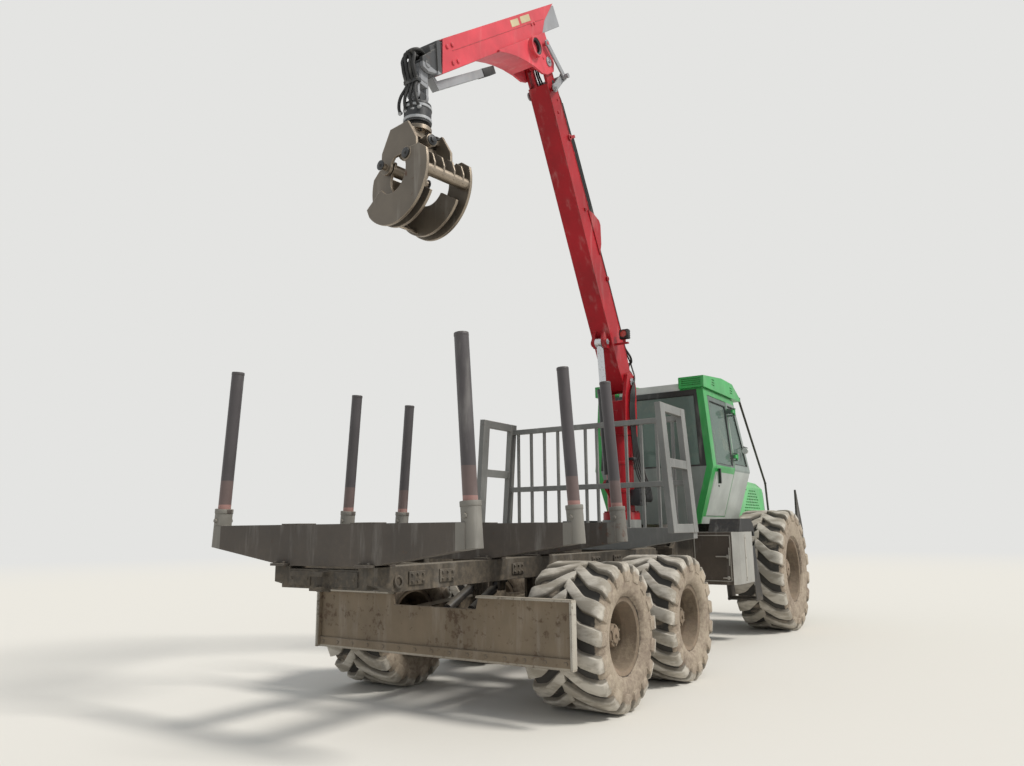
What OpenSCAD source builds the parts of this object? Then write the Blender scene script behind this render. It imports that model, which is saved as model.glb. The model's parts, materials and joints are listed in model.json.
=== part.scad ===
// Forestry forwarder: six wheels, articulated frame, timber bunk, crane with grapple.
// Millimetres, +X forward, +Y left, +Z up. Places along X are measured from the bogie
// centre, and machine() moves them so that the origin is under the middle of the whole.

/* [Wheels] */
// Diameter of a bogie tyre over its lugs
rear_tyre_d = 1180; // [1150:5:1200]
// Diameter of a front tyre over its lugs
front_tyre_d = 1680; // [1600:5:1690]
// Width of every tyre
tyre_w = 700; // [640:5:710]
// Diameter of a bogie rim at the tyre's bead
rear_rim_d = 572; // [540:2:600]
// Diameter of a front rim at the tyre's bead
front_rim_d = 864; // [820:2:900]
// Distance from the middle plane to a tyre's middle
track_half = 1100; // [1090:1:1130]
// Distance from the bogie centre to each of its wheels
bogie_half = 750; // [640:5:760]
// Distance from the bogie centre to the front axle
wheelbase = 5040; // [4980:5:5100]
// Wall of a rim's barrel
rim_wall = 14; // [10:1:18]
// Height of the tread's lugs
lug_h = 42; // [36:1:48]
// Lugs on each side of a bogie tyre
rear_lugs = 17; // [16:1:18]
// Lugs on each side of a front tyre
front_lugs = 18; // [16:1:19]

/* [Rear frame] */
// Distance from the middle plane to a frame rail's middle
rail_y = 420; // [400:5:440]
// Width of a frame rail
rail_w = 160; // [140:5:170]
// Height of a rail's lower face
rail_low = 1030; // [1000:5:1060]
// Height of a rail's top, where the bolsters lie
rail_top = 1205; // [1190:1:1230]
// Rear end of the rails
rail_rear_x = -2725; // [-2760:5:-2725]
// Place of the articulation pin
joint_x = 2850; // [2830:5:2880]
// Diameter of the articulation pin
joint_pin_d = 110; // [90:2:130]
// Bore of the tow hitch at the rear
hitch_bore_d = 50; // [40:1:60]
// Bore of the front tow lug
tow_bore_d = 45; // [36:1:50]

/* [Bunk] */
// Half of a bolster's length
bolster_half = 1240; // [1200:5:1250]
// Thickness of a bolster along the machine
bolster_t = 150; // [130:5:160]
// Height of a bolster's top face
bolster_top = 1500; // [1480:5:1520]
// Height of a bolster's lower face at its ends
bolster_tip_low = 1330; // [1300:5:1360]
// Diameter of a stake
stake_d = 100; // [90:1:104]
// Outer diameter of a stake's socket
socket_d = 136; // [126:1:150]
// Distance from the middle plane to a stake's foot
stake_y = 1250; // [1230:5:1260]
// Lean of the stakes and of the headboard's sides
stake_lean = 3.9; // [3:0.1:4.5]
// Height of the top of the stakes and of the headboard
stake_top = 2755; // [2600:5:2800]
// Rear posts of the headboard
gate_rear_x = 910; // [880:5:940]
// Front posts of the headboard
gate_front_x = 1510; // [1490:5:1530]
// Width of a headboard post along the machine
gate_post_w = 120; // [100:5:130]
// Thickness of a headboard post
gate_post_t = 65; // [55:1:75]

/* [Blade] */
// Width of the rear blade
blade_w = 2660; // [2500:10:2700]
// Height of the blade's lower edge
blade_low = 420; // [400:5:450]
// Height of the blade's top edge
blade_top = 930; // [900:5:950]
// Place of the blade's plate
blade_x = -1460; // [-1490:5:-1450]
// Place of the hinge of the blade's arms
blade_hinge_x = -360; // [-380:5:-340]
// Height of the hinge of the blade's arms
blade_hinge_z = 560; // [540:5:600]
// Distance from the middle plane to each blade arm
blade_arm_y = 300; // [280:5:320]

/* [Front frame] */
// Half of the front frame's width
front_half = 330; // [310:5:350]
// Height of the front frame's lower face behind the axle
front_low = 780; // [760:5:800]
// Height of the front frame's top face
front_top = 1300; // [1280:5:1320]
// Front end of the front frame
front_end_x = 6760; // [6740:5:6800]
// Rear face of the side boxes
box_rear_x = 2700; // [2690:5:2740]
// Front face of the side boxes
box_front_x = 3570; // [3540:5:3600]
// Outer face of the side boxes
box_y = 1300; // [1280:5:1320]
// Height of the side boxes' floor
box_low = 760; // [740:5:790]
// Height of the side boxes' top
box_top = 1385; // [1370:5:1400]

/* [Cab] */
// Rear face of the cab
cab_rear_x = 3340; // [3330:5:3360]
// Front of the cab at the windscreen's foot
cab_front_x = 5050; // [5030:5:5070]
// Front of the cab at the roof
cab_brow_x = 4680; // [4640:5:4700]
// Height of the cab's floor from below
cab_low = 1490; // [1480:5:1500]
// Height of the widest line of the cab
cab_knee_z = 2250; // [2230:5:2270]
// Height of the cab's top rail, where the roof lies
cab_top = 3300; // [3280:5:3320]
// Half of the cab's width at the floor
cab_low_half = 650; // [640:5:660]
// Half of the cab's width at its widest line
cab_knee_half = 870; // [860:5:875]
// Half of the cab's width at the top
cab_top_half = 785; // [780:5:795]
// Thickness of the cab's walls and doors
cab_wall = 45; // [40:1:50]
// Thickness of the cab's glass
glass_t = 8; // [6:0.5:10]
// Rear edge of a door
door_rear_x = 3490; // [3480:5:3510]
// Front edge of a door
door_front_x = 4300; // [4280:5:4310]
// Gap round a door
door_gap = 6; // [5:0.5:8]
// Height of a door's lower edge
door_low = 1590; // [1585:1:1600]
// Height of a door's top edge
door_top = 3230; // [3220:1:3235]

/* [Hood] */
// Rear edge of the engine hood
hood_rear_x = 5160; // [5140:5:5200]
// Foremost line of the engine hood
hood_nose_x = 6700; // [6680:5:6720]
// Height of the hood's lower edge
hood_low = 1560; // [1550:5:1580]
// Height of the hood at its rear
hood_top = 2210; // [2190:5:2230]
// Half of the hood's width
hood_half = 620; // [600:5:640]
// Thickness of the hood's panels
hood_wall = 30; // [20:1:36]
// Length of a cooling slot in the hood's side
slot_l = 62; // [50:1:70]
// Height of a cooling slot
slot_h = 18; // [12:1:22]
// Diameter of the bars from the front guard to the roof
riser_d = 34; // [30:1:38]

/* [Crane] */
// Place of the slewing axis
slew_x = 2300; // [2280:5:2320]
// Place of the boom's shoulder pin
shoulder_x = 2370; // [2360:5:2380]
// Height of the boom's shoulder pin
shoulder_z = 3300; // [3280:5:3320]
// Lift of the main boom above level
boom_up = 60.6; // [60:0.1:61.5]
// Length of the main boom from shoulder to elbow
boom_len = 4030; // [3990:5:4060]
// Width of the main boom
boom_w = 250; // [244:1:254]
// Depth of the main boom at its foot
boom_foot_d = 350; // [330:5:360]
// Depth of the main boom at its head
boom_head_d = 250; // [240:5:256]
// Droop of the outer boom below level
jib_down = 38.7; // [38:0.1:39.5]
// Height of the outer boom's lower face over the elbow pin
jib_low = 295; // [290:1:300]
// Depth of the outer boom
jib_d = 288; // [284:1:292]
// Reach of the outer boom beyond the elbow pin, at its top
jib_len = 2040; // [2000:5:2080]
// Wall of the booms
boom_wall = 12; // [10:0.5:14]
// Diameter of the crane's large pins
pin_d = 70; // [60:1:80]

/* [Grapple] */
// Distance of the grapple's hanging pin beyond the outer boom's end
hang_out = 387.7; // [385:0.1:395]
// Distance of the hanging pin over the outer boom's lower face
hang_over = 123.9; // [120:0.1:128]
// Drop from the hanging pin to the lateral pin
hang_drop = 290; // [280:1:300]
// Drop from the hanging pin to the rotator's lower flange
rotor_drop = 620; // [600:1:630]
// Turn of the grapple about the vertical
grapple_turn = -100; // [-180:1:180]
// Outer radius of a closed claw
claw_r = 440; // [430:2:450]
// Thickness of a claw's side plates
claw_plate = 25; // [20:1:30]
// Distance from the grapple's middle to each side plate of the wide claw
wide_y = 250; // [245:1:260]
// Distance from the grapple's middle to each side plate of the narrow claw
narrow_y = 150; // [140:1:155]

/* [Hidden] */
$fn = 48;
// Distance from the bogie centre to the middle of the whole machine
centre_x = 2030;
// Gap between flat faces of pieces that only lie against each other
seat_gap = 0.3;
// Play on the radius of a pin in its bore
pin_play = 0.5;
axle_rear_z = rear_tyre_d / 2;
axle_front_z = front_tyre_d / 2;
hub_face = track_half - 60;
// Bolsters' places along the machine
bolster_xs = [-2650, -1250, -460];

module machine() translate([-centre_x, 0, 0]) children();
module both_sides() {
  children();
  mirror([0, 1, 0]) children();
}
module side(s) if (s > 0) children(); else mirror([0, 1, 0]) children();
// Upright outline in X and Z, as a slab between two Y places
module slab_xz(y0, y1) translate([0, y1, 0]) rotate([90, 0, 0]) linear_extrude(y1 - y0) children();
// Upright outline in Y and Z, as a slab between two X places
module slab_yz(x0, x1) translate([x0, 0, 0]) rotate([90, 0, 90]) linear_extrude(x1 - x0) children();
module block(x0, x1, y0, y1, z0, z1) translate([x0, y0, z0]) cube([x1 - x0, y1 - y0, z1 - z0]);
// Round bar along Y
module bar_y(x, z, d, y0, y1) translate([x, y1, z]) rotate([90, 0, 0]) cylinder(d = d, h = y1 - y0);
/* Wheels: axle along Y, outer side at +Y */
module tyre(d, bead_d, lugs) {
  half = tyre_w / 2;
  r = d / 2;
  ground = r - lug_h;
  bead = bead_d / 2 + 0.6;
  lip = half * 0.80;
  deep = r - bead;
  rotate([90, 0, 0]) rotate_extrude($fn = 96)
    polygon([
      [bead, -lip + 15], [bead + 22, -lip + 1], [bead + 23, -lip - 13], [bead + 30, -half * 0.88], [bead + deep * 0.45, -half * 0.97],
      [ground - deep * 0.22, -half * 0.95], [ground - deep * 0.06, -half * 0.88], [ground, -half * 0.74],
      [ground, half * 0.74], [ground - deep * 0.06, half * 0.88], [ground - deep * 0.22, half * 0.95],
      [bead + deep * 0.45, half * 0.97], [bead + 30, half * 0.88],
      [bead + 23, lip + 13], [bead + 22, lip - 1], [bead, lip - 15],
      [bead, half * 0.60], [bead + deep * 0.25, half * 0.70], [r - deep * 0.36, half * 0.72],
      [r - deep * 0.36, -half * 0.72], [bead + deep * 0.25, -half * 0.70], [bead, -half * 0.60]
    ]);
  intersection() {
    rotate([90, 0, 0]) rotate_extrude($fn = 96) tread_band(r, half);
    union() {
      for (k = [0 : lugs - 1]) rotate([0, k * 360 / lugs, 0]) lug(r, 360 / lugs);
      mirror([0, 1, 0]) for (k = [0 : lugs - 1]) rotate([0, (k + 0.5) * 360 / lugs, 0]) lug(r, 360 / lugs);
    }
  }
}
// Section of the ring that holds the lugs: their tops, and their ends down the shoulders
module tread_band(r, half) polygon([
  [r, -half * 0.80], [r - 14, -half * 0.93], [r - 60, -half], [r - 150, -half], [r - 150, -half * 0.90], [r - 66, -half * 0.80],
  [r - 66, half * 0.80], [r - 150, half * 0.90], [r - 150, half], [r - 60, half], [r - 14, half * 0.93], [r, half * 0.80]
]);
// One lug, bent back towards the shoulder, seen from above the tread: X forward, Y outward
module lug(r, pitch) {
  wide = r * pitch * PI / 180 * 0.24;
  reach = 125;
  translate([0, 0, r - 190]) linear_extrude(200) polygon([
    [reach + wide, -22], [-reach * 0.42 + wide, tyre_w * 0.25], [-reach + wide * 1.15, tyre_w * 0.52],
    [-reach - wide * 1.15, tyre_w * 0.52], [-reach * 0.42 - wide, tyre_w * 0.25], [reach - wide, -22]
  ]);
}
// dish is the place of the disc's outer face, measured outwards from the tyre's middle
module rim(bead_d, dish, hub_d, hub_out) {
  half = tyre_w / 2 * 0.80;
  r = bead_d / 2;
  rotate([90, 0, 180]) rotate_extrude($fn = 96)
    polygon([
      [r - 0.4, -half + 14], [r + 22, -half], [r + 22, -half - 12], [r - rim_wall, -half - 2],
      [r - rim_wall - 30, -half + 120], [r - rim_wall - 30, dish - 20], [0, dish - 20],
      [0, dish + hub_out], [hub_d / 2 - 16, dish + hub_out], [hub_d / 2, dish + hub_out - 16],
      [hub_d / 2, dish], [r - rim_wall - 60, dish], [r - rim_wall - 30, dish + 24],
      [r - rim_wall - 30, half - 120], [r - rim_wall, half + 2], [r + 22, half + 12],
      [r + 22, half], [r - 0.4, half - 14]
    ]);
}
module rear_wheel_at(x, s) machine() translate([x, s * track_half, axle_rear_z]) children();
module front_wheel_at(s) machine() translate([wheelbase, s * track_half, axle_front_z]) children();
module rear_tyre(x, s) color("dimgray") rear_wheel_at(x, s) tyre(rear_tyre_d, rear_rim_d, rear_lugs);
module front_tyre(s) color("dimgray") front_wheel_at(s) tyre(front_tyre_d, front_rim_d, front_lugs);
module rear_rim(x, s) color("tan") rear_wheel_at(x, s) side(s)
  rim(rear_rim_d, hub_face - track_half + 20, 260, 110);
module front_rim(s) color("tan") front_wheel_at(s) side(s)
  rim(front_rim_d, hub_face - track_half + 20, 380, 190);

/* Rear unit */
module rear_frame() color("#3a3a38") machine() difference() {
  union() {
    both_sides() slab_xz(rail_y - rail_w / 2, rail_y + rail_w / 2) polygon([
      [rail_rear_x, rail_top], [neck_x, rail_top], [neck_x, neck_low], [1850, neck_low],
      [1500, rail_low], [rail_rear_x + 200, rail_low], [rail_rear_x, rail_low + 60]
    ]);
    for (x = [rail_rear_x + 60, -1700, blade_foot[0], blade_hinge_x, 240, 1250])
      block(x - 60, x + 60, -rail_y, rail_y, rail_low + 20, rail_top - 20);
    // Neck: two plates with a web between them, narrowing to the articulation
    for (z = [neck_low, rail_top - 40]) translate([0, 0, z]) linear_extrude(40) neck_outline();
    block(neck_x - 100, joint_x - 170, -120, 120, neck_low, rail_top);
    for (z = [neck_low - 70, rail_top - 60]) translate([0, 0, z]) linear_extrude(70) nose_outline();
    block(joint_x - 245, joint_x - 170, -120, 120, neck_low - 70, rail_top);
    // Pins of the steering cylinders between the neck's plates
    both_sides() translate([steer_foot[0], steer_foot[1], neck_low + 20]) cylinder(d = 35, h = rail_top - neck_low - 40);
    // Tow hitch
    for (z = [rail_low + 10, rail_low + 110]) block(rail_rear_x - 70, rail_rear_x + 10, -60, 60, z, z + 30);
    block(rail_rear_x - 2, rail_rear_x + 20, -60, 60, rail_low, rail_top - 20);
    // Ears for the blade's arms and cylinders
    both_sides() for (y = [blade_arm_y - 60, blade_arm_y + 34]) slab_xz(y, y + 26) polygon([
      [blade_hinge_x - 60, rail_low + 40], [blade_hinge_x + 60, rail_low + 40],
      [blade_hinge_x + 50, blade_hinge_z - 50], [blade_hinge_x - 50, blade_hinge_z - 50]
    ]);
    both_sides() for (y = [78, 158]) slab_xz(y, y + 24) polygon([
      [blade_foot[0] - 58, rail_low + 40], [blade_foot[0] + 58, rail_low + 40],
      [blade_foot[0] + 45, blade_foot[1] - 45], [blade_foot[0] - 45, blade_foot[1] - 45]
    ]);
    both_sides() bar_y(blade_foot[0], blade_foot[1], 35, 80, 180);
  }
  translate([joint_x, 0, 700]) cylinder(d = joint_pin_d + 2 * pin_play, h = 600);
  translate([rail_rear_x - 35, 0, rail_low - 10]) cylinder(d = hitch_bore_d, h = 200);
  both_sides() bar_y(blade_hinge_x, blade_hinge_z, 50 + 2 * pin_play, blade_arm_y - 80, blade_arm_y + 80);
}
neck_x = 2150;
neck_low = 900;
module neck_outline() polygon([
  [1850, -rail_y - rail_w / 2], [neck_x, -rail_y - rail_w / 2], [2290, -325], [joint_x - 230, -280],
  [joint_x - 170, -200], [joint_x - 170, 200], [joint_x - 230, 280], [2290, 325],
  [neck_x, rail_y + rail_w / 2], [1850, rail_y + rail_w / 2]
]);
module nose_outline() polygon([
  [joint_x - 245, -170], [joint_x - 150, -160], [joint_x + 60, -120], [joint_x + 105, -50],
  [joint_x + 105, 50], [joint_x + 60, 120], [joint_x - 150, 160], [joint_x - 245, 170]
]);

module leaning(x) translate([x, stake_y, 1350]) rotate([stake_lean, 0, 0]) children();
module bolsters() color("#4a403a") machine() for (x = bolster_xs) difference() {
  union() {
    slab_yz(x - bolster_t / 2, x + bolster_t / 2) polygon([
      [-bolster_half, bolster_tip_low], [-rail_y, rail_top + seat_gap], [rail_y, rail_top + seat_gap],
      [bolster_half, bolster_tip_low], [bolster_half, bolster_top], [-bolster_half, bolster_top]
    ]);
    both_sides() leaning(x) translate([0, 0, -20]) cylinder(d = socket_d, h = 300);
  }
  both_sides() leaning(x) cylinder(d = stake_d + 2 * seat_gap, h = 400);
}
module stakes() color("#45403c") machine() both_sides() for (x = bolster_xs)
  leaning(x) translate([0, 0, seat_gap]) cylinder(d = stake_d, h = (stake_top - 1350) / cos(stake_lean));

module headboard() color("#b8b8b8") machine() {
  gate_foot = 1390;
  // Beam on the rails and the foot of each side
  slab_yz(gate_front_x - 60, gate_front_x + 60) polygon([
    [-stake_y + 20, gate_foot - 60], [-rail_y, rail_top + seat_gap], [rail_y, rail_top + seat_gap],
    [stake_y - 20, gate_foot - 60], [stake_y - 20, gate_foot + 60], [-stake_y + 20, gate_foot + 60]
  ]);
  both_sides() translate([0, stake_y - 70, gate_foot]) rotate([stake_lean, 0, 0]) {
    high = (stake_top - gate_foot) / cos(stake_lean) - 6;
    for (x = [gate_rear_x, gate_front_x])
      block(x - gate_post_w / 2, x + gate_post_w / 2, 0, gate_post_t, 0, high);
    for (z = [0, high * 0.5, high - 90])
      block(gate_rear_x, gate_front_x, 4, gate_post_t - 4, z, z + 90);
  }
  // Grille across the load space
  both_sides() for (k = [0 : 5]) block(gate_front_x - 15, gate_front_x + 15, 60 + k * 190, 90 + k * 190, gate_foot, 2650);
  for (z = [1900, 2620]) block(gate_front_x - 25, gate_front_x + 25, -1160 + (z - 1900) * 0.07, 1160 - (z - 1900) * 0.07, z, z + 60);
}

module bogie_beam(s) color("#4b4540") machine() side(s) {
  slab_xz(560, 720) polygon([
    [-bogie_half - 190, axle_rear_z - 60], [-bogie_half - 190, axle_rear_z + 60], [-bogie_half - 90, axle_rear_z + 160],
    [-240, axle_rear_z + 190], [240, axle_rear_z + 190], [bogie_half + 90, axle_rear_z + 160],
    [bogie_half + 190, axle_rear_z + 60], [bogie_half + 190, axle_rear_z - 60], [bogie_half + 90, axle_rear_z - 160],
    [240, axle_rear_z - 130], [-240, axle_rear_z - 130], [-bogie_half - 90, axle_rear_z - 160]
  ]);
  for (x = [-bogie_half, bogie_half]) bar_y(x, axle_rear_z, 240, 700, hub_face - seat_gap);
}
module bogie_axle() color("#4b4540") machine() {
  bar_y(0, axle_rear_z + 20, 300, -560 + seat_gap, 560 - seat_gap);
  translate([0, 0, axle_rear_z + 20]) sphere(d = 420);
  both_sides() block(-130, 130, 330, 510, axle_rear_z + 100, rail_low - seat_gap);
}
module crane_base() color("#8f9290") machine() difference() {
  union() {
    translate([slew_x, 0, rail_top + seat_gap]) cylinder(d = 590, h = 120);
    translate([slew_x, 0, rail_top + 100]) cylinder(d = 480, h = 240);
    // Housings of the slewing racks
    for (y = [-190, 190]) translate([slew_x - 360, y, rail_top + 130]) rotate([0, 90, 0]) cylinder(d = 150, h = 720);
  }
  translate([slew_x, 0, rail_top + 200]) cylinder(d = 260, h = 400);
}

/* Blade */
module blade() color("#6d5545") machine() difference() {
  union() {
    slab_yz(blade_x - 12, blade_x + 12) polygon([
      [-blade_w / 2, blade_low], [blade_w / 2, blade_low], [blade_w / 2, blade_top],
      [460, blade_top], [430, blade_top - 110], [-430, blade_top - 110], [-460, blade_top], [-blade_w / 2, blade_top]
    ]);
    // Turned lips along the top and at the ends
    both_sides() {
      block(blade_x - 60, blade_x + 12, 460, blade_w / 2, blade_top - 18, blade_top);
      block(blade_x - 60, blade_x + 12, blade_w / 2 - 18, blade_w / 2, blade_low, blade_top);
    }
    block(blade_x + 12, blade_x + 90, -560, 560, blade_low + 40, blade_low + 160);
    both_sides() slab_xz(blade_arm_y - 30, blade_arm_y + 30) polygon([
      [blade_x + 12, blade_low + 40], [blade_x + 12, blade_top - 130], [blade_x + 150, blade_hinge_z + 90],
      [blade_hinge_x, blade_hinge_z + 55], [blade_hinge_x + 50, blade_hinge_z],
      [blade_hinge_x, blade_hinge_z - 55], [blade_x + 150, blade_hinge_z - 80]
    ]);
    both_sides() bar_y(blade_hinge_x, blade_hinge_z, 50, blade_arm_y - 62, blade_arm_y + 62);
    // Ears for the blade's cylinders
    both_sides() for (y = [78, 158]) slab_xz(y, y + 24) polygon([
      [blade_x + 12, 500], [blade_x + 12, 760], [blade_x + 130, 700], [blade_x + 130, 600]
    ]);
  }
  both_sides() bar_y(blade_x + 85, 650, 32, 60, 200);
}

/* Front unit */
module front_frame() color("#3a3a38") machine() {
  for (s = [-1, 1]) slab_xz(s * (front_half - 30) - 30, s * (front_half - 30) + 30) polygon([
    [head_x, front_low], [wheelbase - 560, front_low], [wheelbase - 400, 1040], [wheelbase + 400, 1040],
    [wheelbase + 560, 900], [front_end_x, 900],
    [front_end_x, front_top - 100], [6540, front_top], [3300, front_top], [head_x, 1150]
  ]);
  for (x = [wheelbase - 740, wheelbase + 710]) block(x - 40, x + 40, -front_half + 20, front_half - 20, 940, 1100);
  // Rear head with the articulation pin and the ears of the steering cylinders
  block(head_x, head_x + 70, -front_half, front_half, front_low, 1180);
  translate([0, 0, yoke_low]) linear_extrude(yoke_high - yoke_low) polygon([[head_x + 20, -130], [head_x + 20, 130],
    [joint_x + 60, 110], [joint_x - 60, 90], [joint_x - 105, 0], [joint_x - 60, -90], [joint_x + 60, -110]]);
  translate([joint_x, 0, neck_low - 80]) cylinder(d = joint_pin_d, h = rail_top - neck_low + 100);
  both_sides() for (z = [steer_z - 66, steer_z + 36]) translate([0, 0, z]) linear_extrude(30) difference() {
    polygon([[head_x + 10, 180], [head_x + 10, 310], [steer_eye[0] + 20, 300], [steer_eye[0] - 45, 270],
      [steer_eye[0] - 45, 220], [steer_eye[0] + 20, 190]]);
    translate(steer_eye) circle(d = 36);
  }
  // Cab feet
  for (x = [3450, 4850]) for (s = [-1, 1]) block(x - 60, x + 60, s * 280 - 50, s * 280 + 50, front_top - 20, cab_low - seat_gap);
  // Front cross beam and the hinge posts of the hood
  block(front_end_x - 140, front_end_x, -520, 520, 920, 1080);
  both_sides() slab_xz(400, 430) {
    polygon([[hood_hinge[0] - 14, hood_hinge[1]], [hood_hinge[0] + 14, hood_hinge[1]], [hood_hinge[0] + 50, 1060], [hood_hinge[0] - 60, 1060]]);
    translate(hood_hinge) circle(r = 22);
  }
  both_sides() bar_y(hood_hinge[0], hood_hinge[1], 24, 410, 466);
}
head_x = joint_x + 260;
yoke_low = neck_low + seat_gap;
yoke_high = rail_top - 60 - seat_gap;
hood_hinge = [hood_nose_x - 10, hood_low - 30];

module front_axle() color("#4b4540") machine() {
  bar_y(wheelbase, axle_front_z, 280, -660, 660);
  translate([wheelbase, 0, axle_front_z]) sphere(d = 400);
  both_sides() bar_y(wheelbase, axle_front_z, 380, 640, 740);
  both_sides() bar_y(wheelbase, axle_front_z, 300, 740, hub_face - seat_gap);
  both_sides() block(wheelbase - 140, wheelbase + 140, front_half - 60, front_half, axle_front_z + 100, 1040 - seat_gap);
}
module engine() color("#6b6f6a") machine() {
  block(hood_rear_x + 190, hood_nose_x - 350, -260, 260, 1110, hood_top - 350);
  block(hood_nose_x - 270, hood_nose_x - 180, -480, 480, front_top + seat_gap, hood_top - 230);
  both_sides() block(hood_rear_x + 440, hood_rear_x + 540, 250, front_half - 60 - seat_gap, 1200, 1290);
}
module side_box(s) {
  side(s) translate([0, 0, box_low]) linear_extrude(box_top - box_low) polygon([
    [box_rear_x, 760], [box_front_x, 760], [box_front_x, box_y - 80], [box_front_x - 170, box_y],
    [box_rear_x + 150, box_y], [box_rear_x, box_y - 50]
  ]);
}
module side_boxes() color("#7d7a74") machine() {
  for (s = [-1, 1]) side_box(s);
  // Steps to the doors
  both_sides() {
    for (y = [880, box_y - 60]) slab_xz(y, y + 14) polygon([
      [box_front_x - 200, box_low], [box_front_x - 5, box_low], [box_front_x + 40, box_low - 260], [box_front_x + 330, box_low - 260],
      [box_front_x + 330, box_low - 200], [box_front_x + 90, box_low + 440], [box_front_x - 5, box_low + 440], [box_front_x - 200, box_low + 40]
    ]);
    for (k = [0 : 2]) block(box_front_x + 20 - k * 8, box_front_x + 310 - k * 90, 880, box_y - 50, box_low - 250 + k * 320, box_low - 225 + k * 320);
  }
  both_sides() block(3200, 3420, front_half + seat_gap, 780, 880, 1010);
}
module mudguards() color("#26282a") machine() both_sides()
  slab_xz(880, box_y - 30) polygon([
    [2960, box_top + seat_gap], [3060, 1548], [3500, 1548], [3600, 1470], [3640, box_top - 60],
    [3600, box_top - 60], [3580, box_top + seat_gap]
  ]);
module front_guard() color("#3a3a38") machine() difference() {
  union() {
    block(front_end_x + seat_gap, front_end_x + 90, -1180, 1180, 860, 1110);
    both_sides() slab_xz(1160, 1185) polygon([
      [front_end_x - 330, 1090], [front_end_x + 60, 1090], [front_end_x + 60, 1400], [front_end_x - 230, 2030], [front_end_x - 260, 2030]
    ]);
    both_sides() block(front_end_x - 330, front_end_x + 60, 1100, 1185, 1060, 1110);
    block(front_end_x + 5, front_end_x + 85, -20, 20, 780, 870);
    // Bars that keep branches off, from the guard over the hood to the roof
    both_sides() {
      riser(riser_foot, riser_bend);
      riser(riser_bend, riser_head);
      translate(riser_bend) sphere(d = riser_d + 8);
      block(riser_head[0] - 8, riser_head[0] + 12, riser_head[1] - 25, riser_head[1] + 20, riser_head[2] - 30, riser_head[2] + 30);
    }
    // Lamps on the guard, their glass forward
    both_sides() translate([front_end_x + 20, 820, 1180]) {
      rotate([0, 90, 0]) cylinder(d = 120, h = 60);
      translate([10, -15, -80]) cube([25, 30, 60]);
    }
  }
  bar_y(front_end_x + 45, 825, tow_bore_d, -100, 100);
}

riser_foot = [front_end_x + 40, 675, 1100];
riser_bend = [front_end_x - 140, 675, 2160];
riser_head = [cab_brow_x + 308.5, cab_top_half + 5, cab_top + 60];
module riser(a, b) translate(a) rotate([0, acos((b[2] - a[2]) / norm(b - a)), atan2(b[1] - a[1], b[0] - a[0])])
  cylinder(d = riser_d, h = norm(b - a));

/* Cab */
// The cab's outer form, drawn in by a distance all round
module cab_form(in) intersection() {
  slab_yz(cab_rear_x - 10, cab_front_x + 10) polygon([
    [-cab_low_half + in, cab_low + in], [cab_low_half - in, cab_low + in], [cab_knee_half - in, cab_knee_z],
    [cab_top_half - in, cab_top - in], [-cab_top_half + in, cab_top - in], [-cab_knee_half + in, cab_knee_z]
  ]);
  slab_xz(-1000, 1000) polygon([
    [cab_rear_x + in, cab_low - 1], [cab_front_x - 60 - in, cab_low - 1], [cab_front_x - in, cab_knee_z + 30],
    [cab_brow_x - in, cab_top + 1], [cab_rear_x + in, cab_top + 1]
  ]);
}
module cab_skin(depth, t) difference() {
  cab_form(depth);
  cab_form(depth + t);
}
// Upright outlines of the openings, drawn in by a distance
module door_opening(in) polygon([
  [door_rear_x + in, door_low + in], [door_front_x - in, door_low + in],
  [door_front_x - in, door_top - in], [door_rear_x + in, door_top - in]
]);
module door_window(in) polygon([
  [door_rear_x + 60 + in, cab_knee_z + 40 + in], [door_front_x - 60 - in, cab_knee_z + 40 + in],
  [door_front_x - 60 - in, door_top - 70 - in], [door_rear_x + 60 + in, door_top - 70 - in]
]);
module quarter_window(in) polygon([
  [door_front_x + 60 + in, cab_knee_z + 70 + in], [cab_front_x - 90 - in, cab_knee_z + 70 + in],
  [cab_brow_x - 60 - in, door_top - 40 - in], [door_front_x + 60 + in, door_top - 40 - in]
]);
module rear_window(in) polygon([
  [-700 + in, cab_knee_z + 10 + in], [700 - in, cab_knee_z + 10 + in],
  [660 - in, door_top - in], [-660 + in, door_top - in]
]);
module front_window(in) polygon([
  [-750 + in, cab_knee_z + 80 + in], [750 - in, cab_knee_z + 80 + in],
  [690 - in, door_top - in], [-690 + in, door_top - in]
]);
module window_space(in) {
  for (y = [-1000, 500]) slab_xz(y, y + 500) quarter_window(in);
  slab_yz(cab_rear_x - 50, cab_rear_x + 120) rear_window(in);
  slab_yz(cab_brow_x - 160, cab_front_x + 50) front_window(in);
}
module cab_shell() color("#4f9a5a") machine() difference() {
  union() {
    cab_skin(0, cab_wall);
    // Leaves of the door hinges
    both_sides() for (z = door_hinge_zs) for (k = [-57.5, 40.5])
      block(door_hinge_x - 16, door_hinge_x + 26, cab_side_y(z) - 12, door_hinge_y + 15, z + k, z + k + 17);
    // Grey cowl between the cab and the hood
    block(cab_front_x - 65, hood_rear_x - 12, -hood_half, hood_half, cab_low + 30, 2200);
  }
  for (y = [-1000, 500]) slab_xz(y, y + 500) door_opening(0);
  window_space(0);
  block(cab_front_x - 140, cab_front_x + 40, -480, 480, cab_low + 100, 2100);
}
module cab_glass() color("#8fb3ad") machine() intersection() {
  cab_skin(16, glass_t);
  window_space(seat_gap);
}
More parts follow.
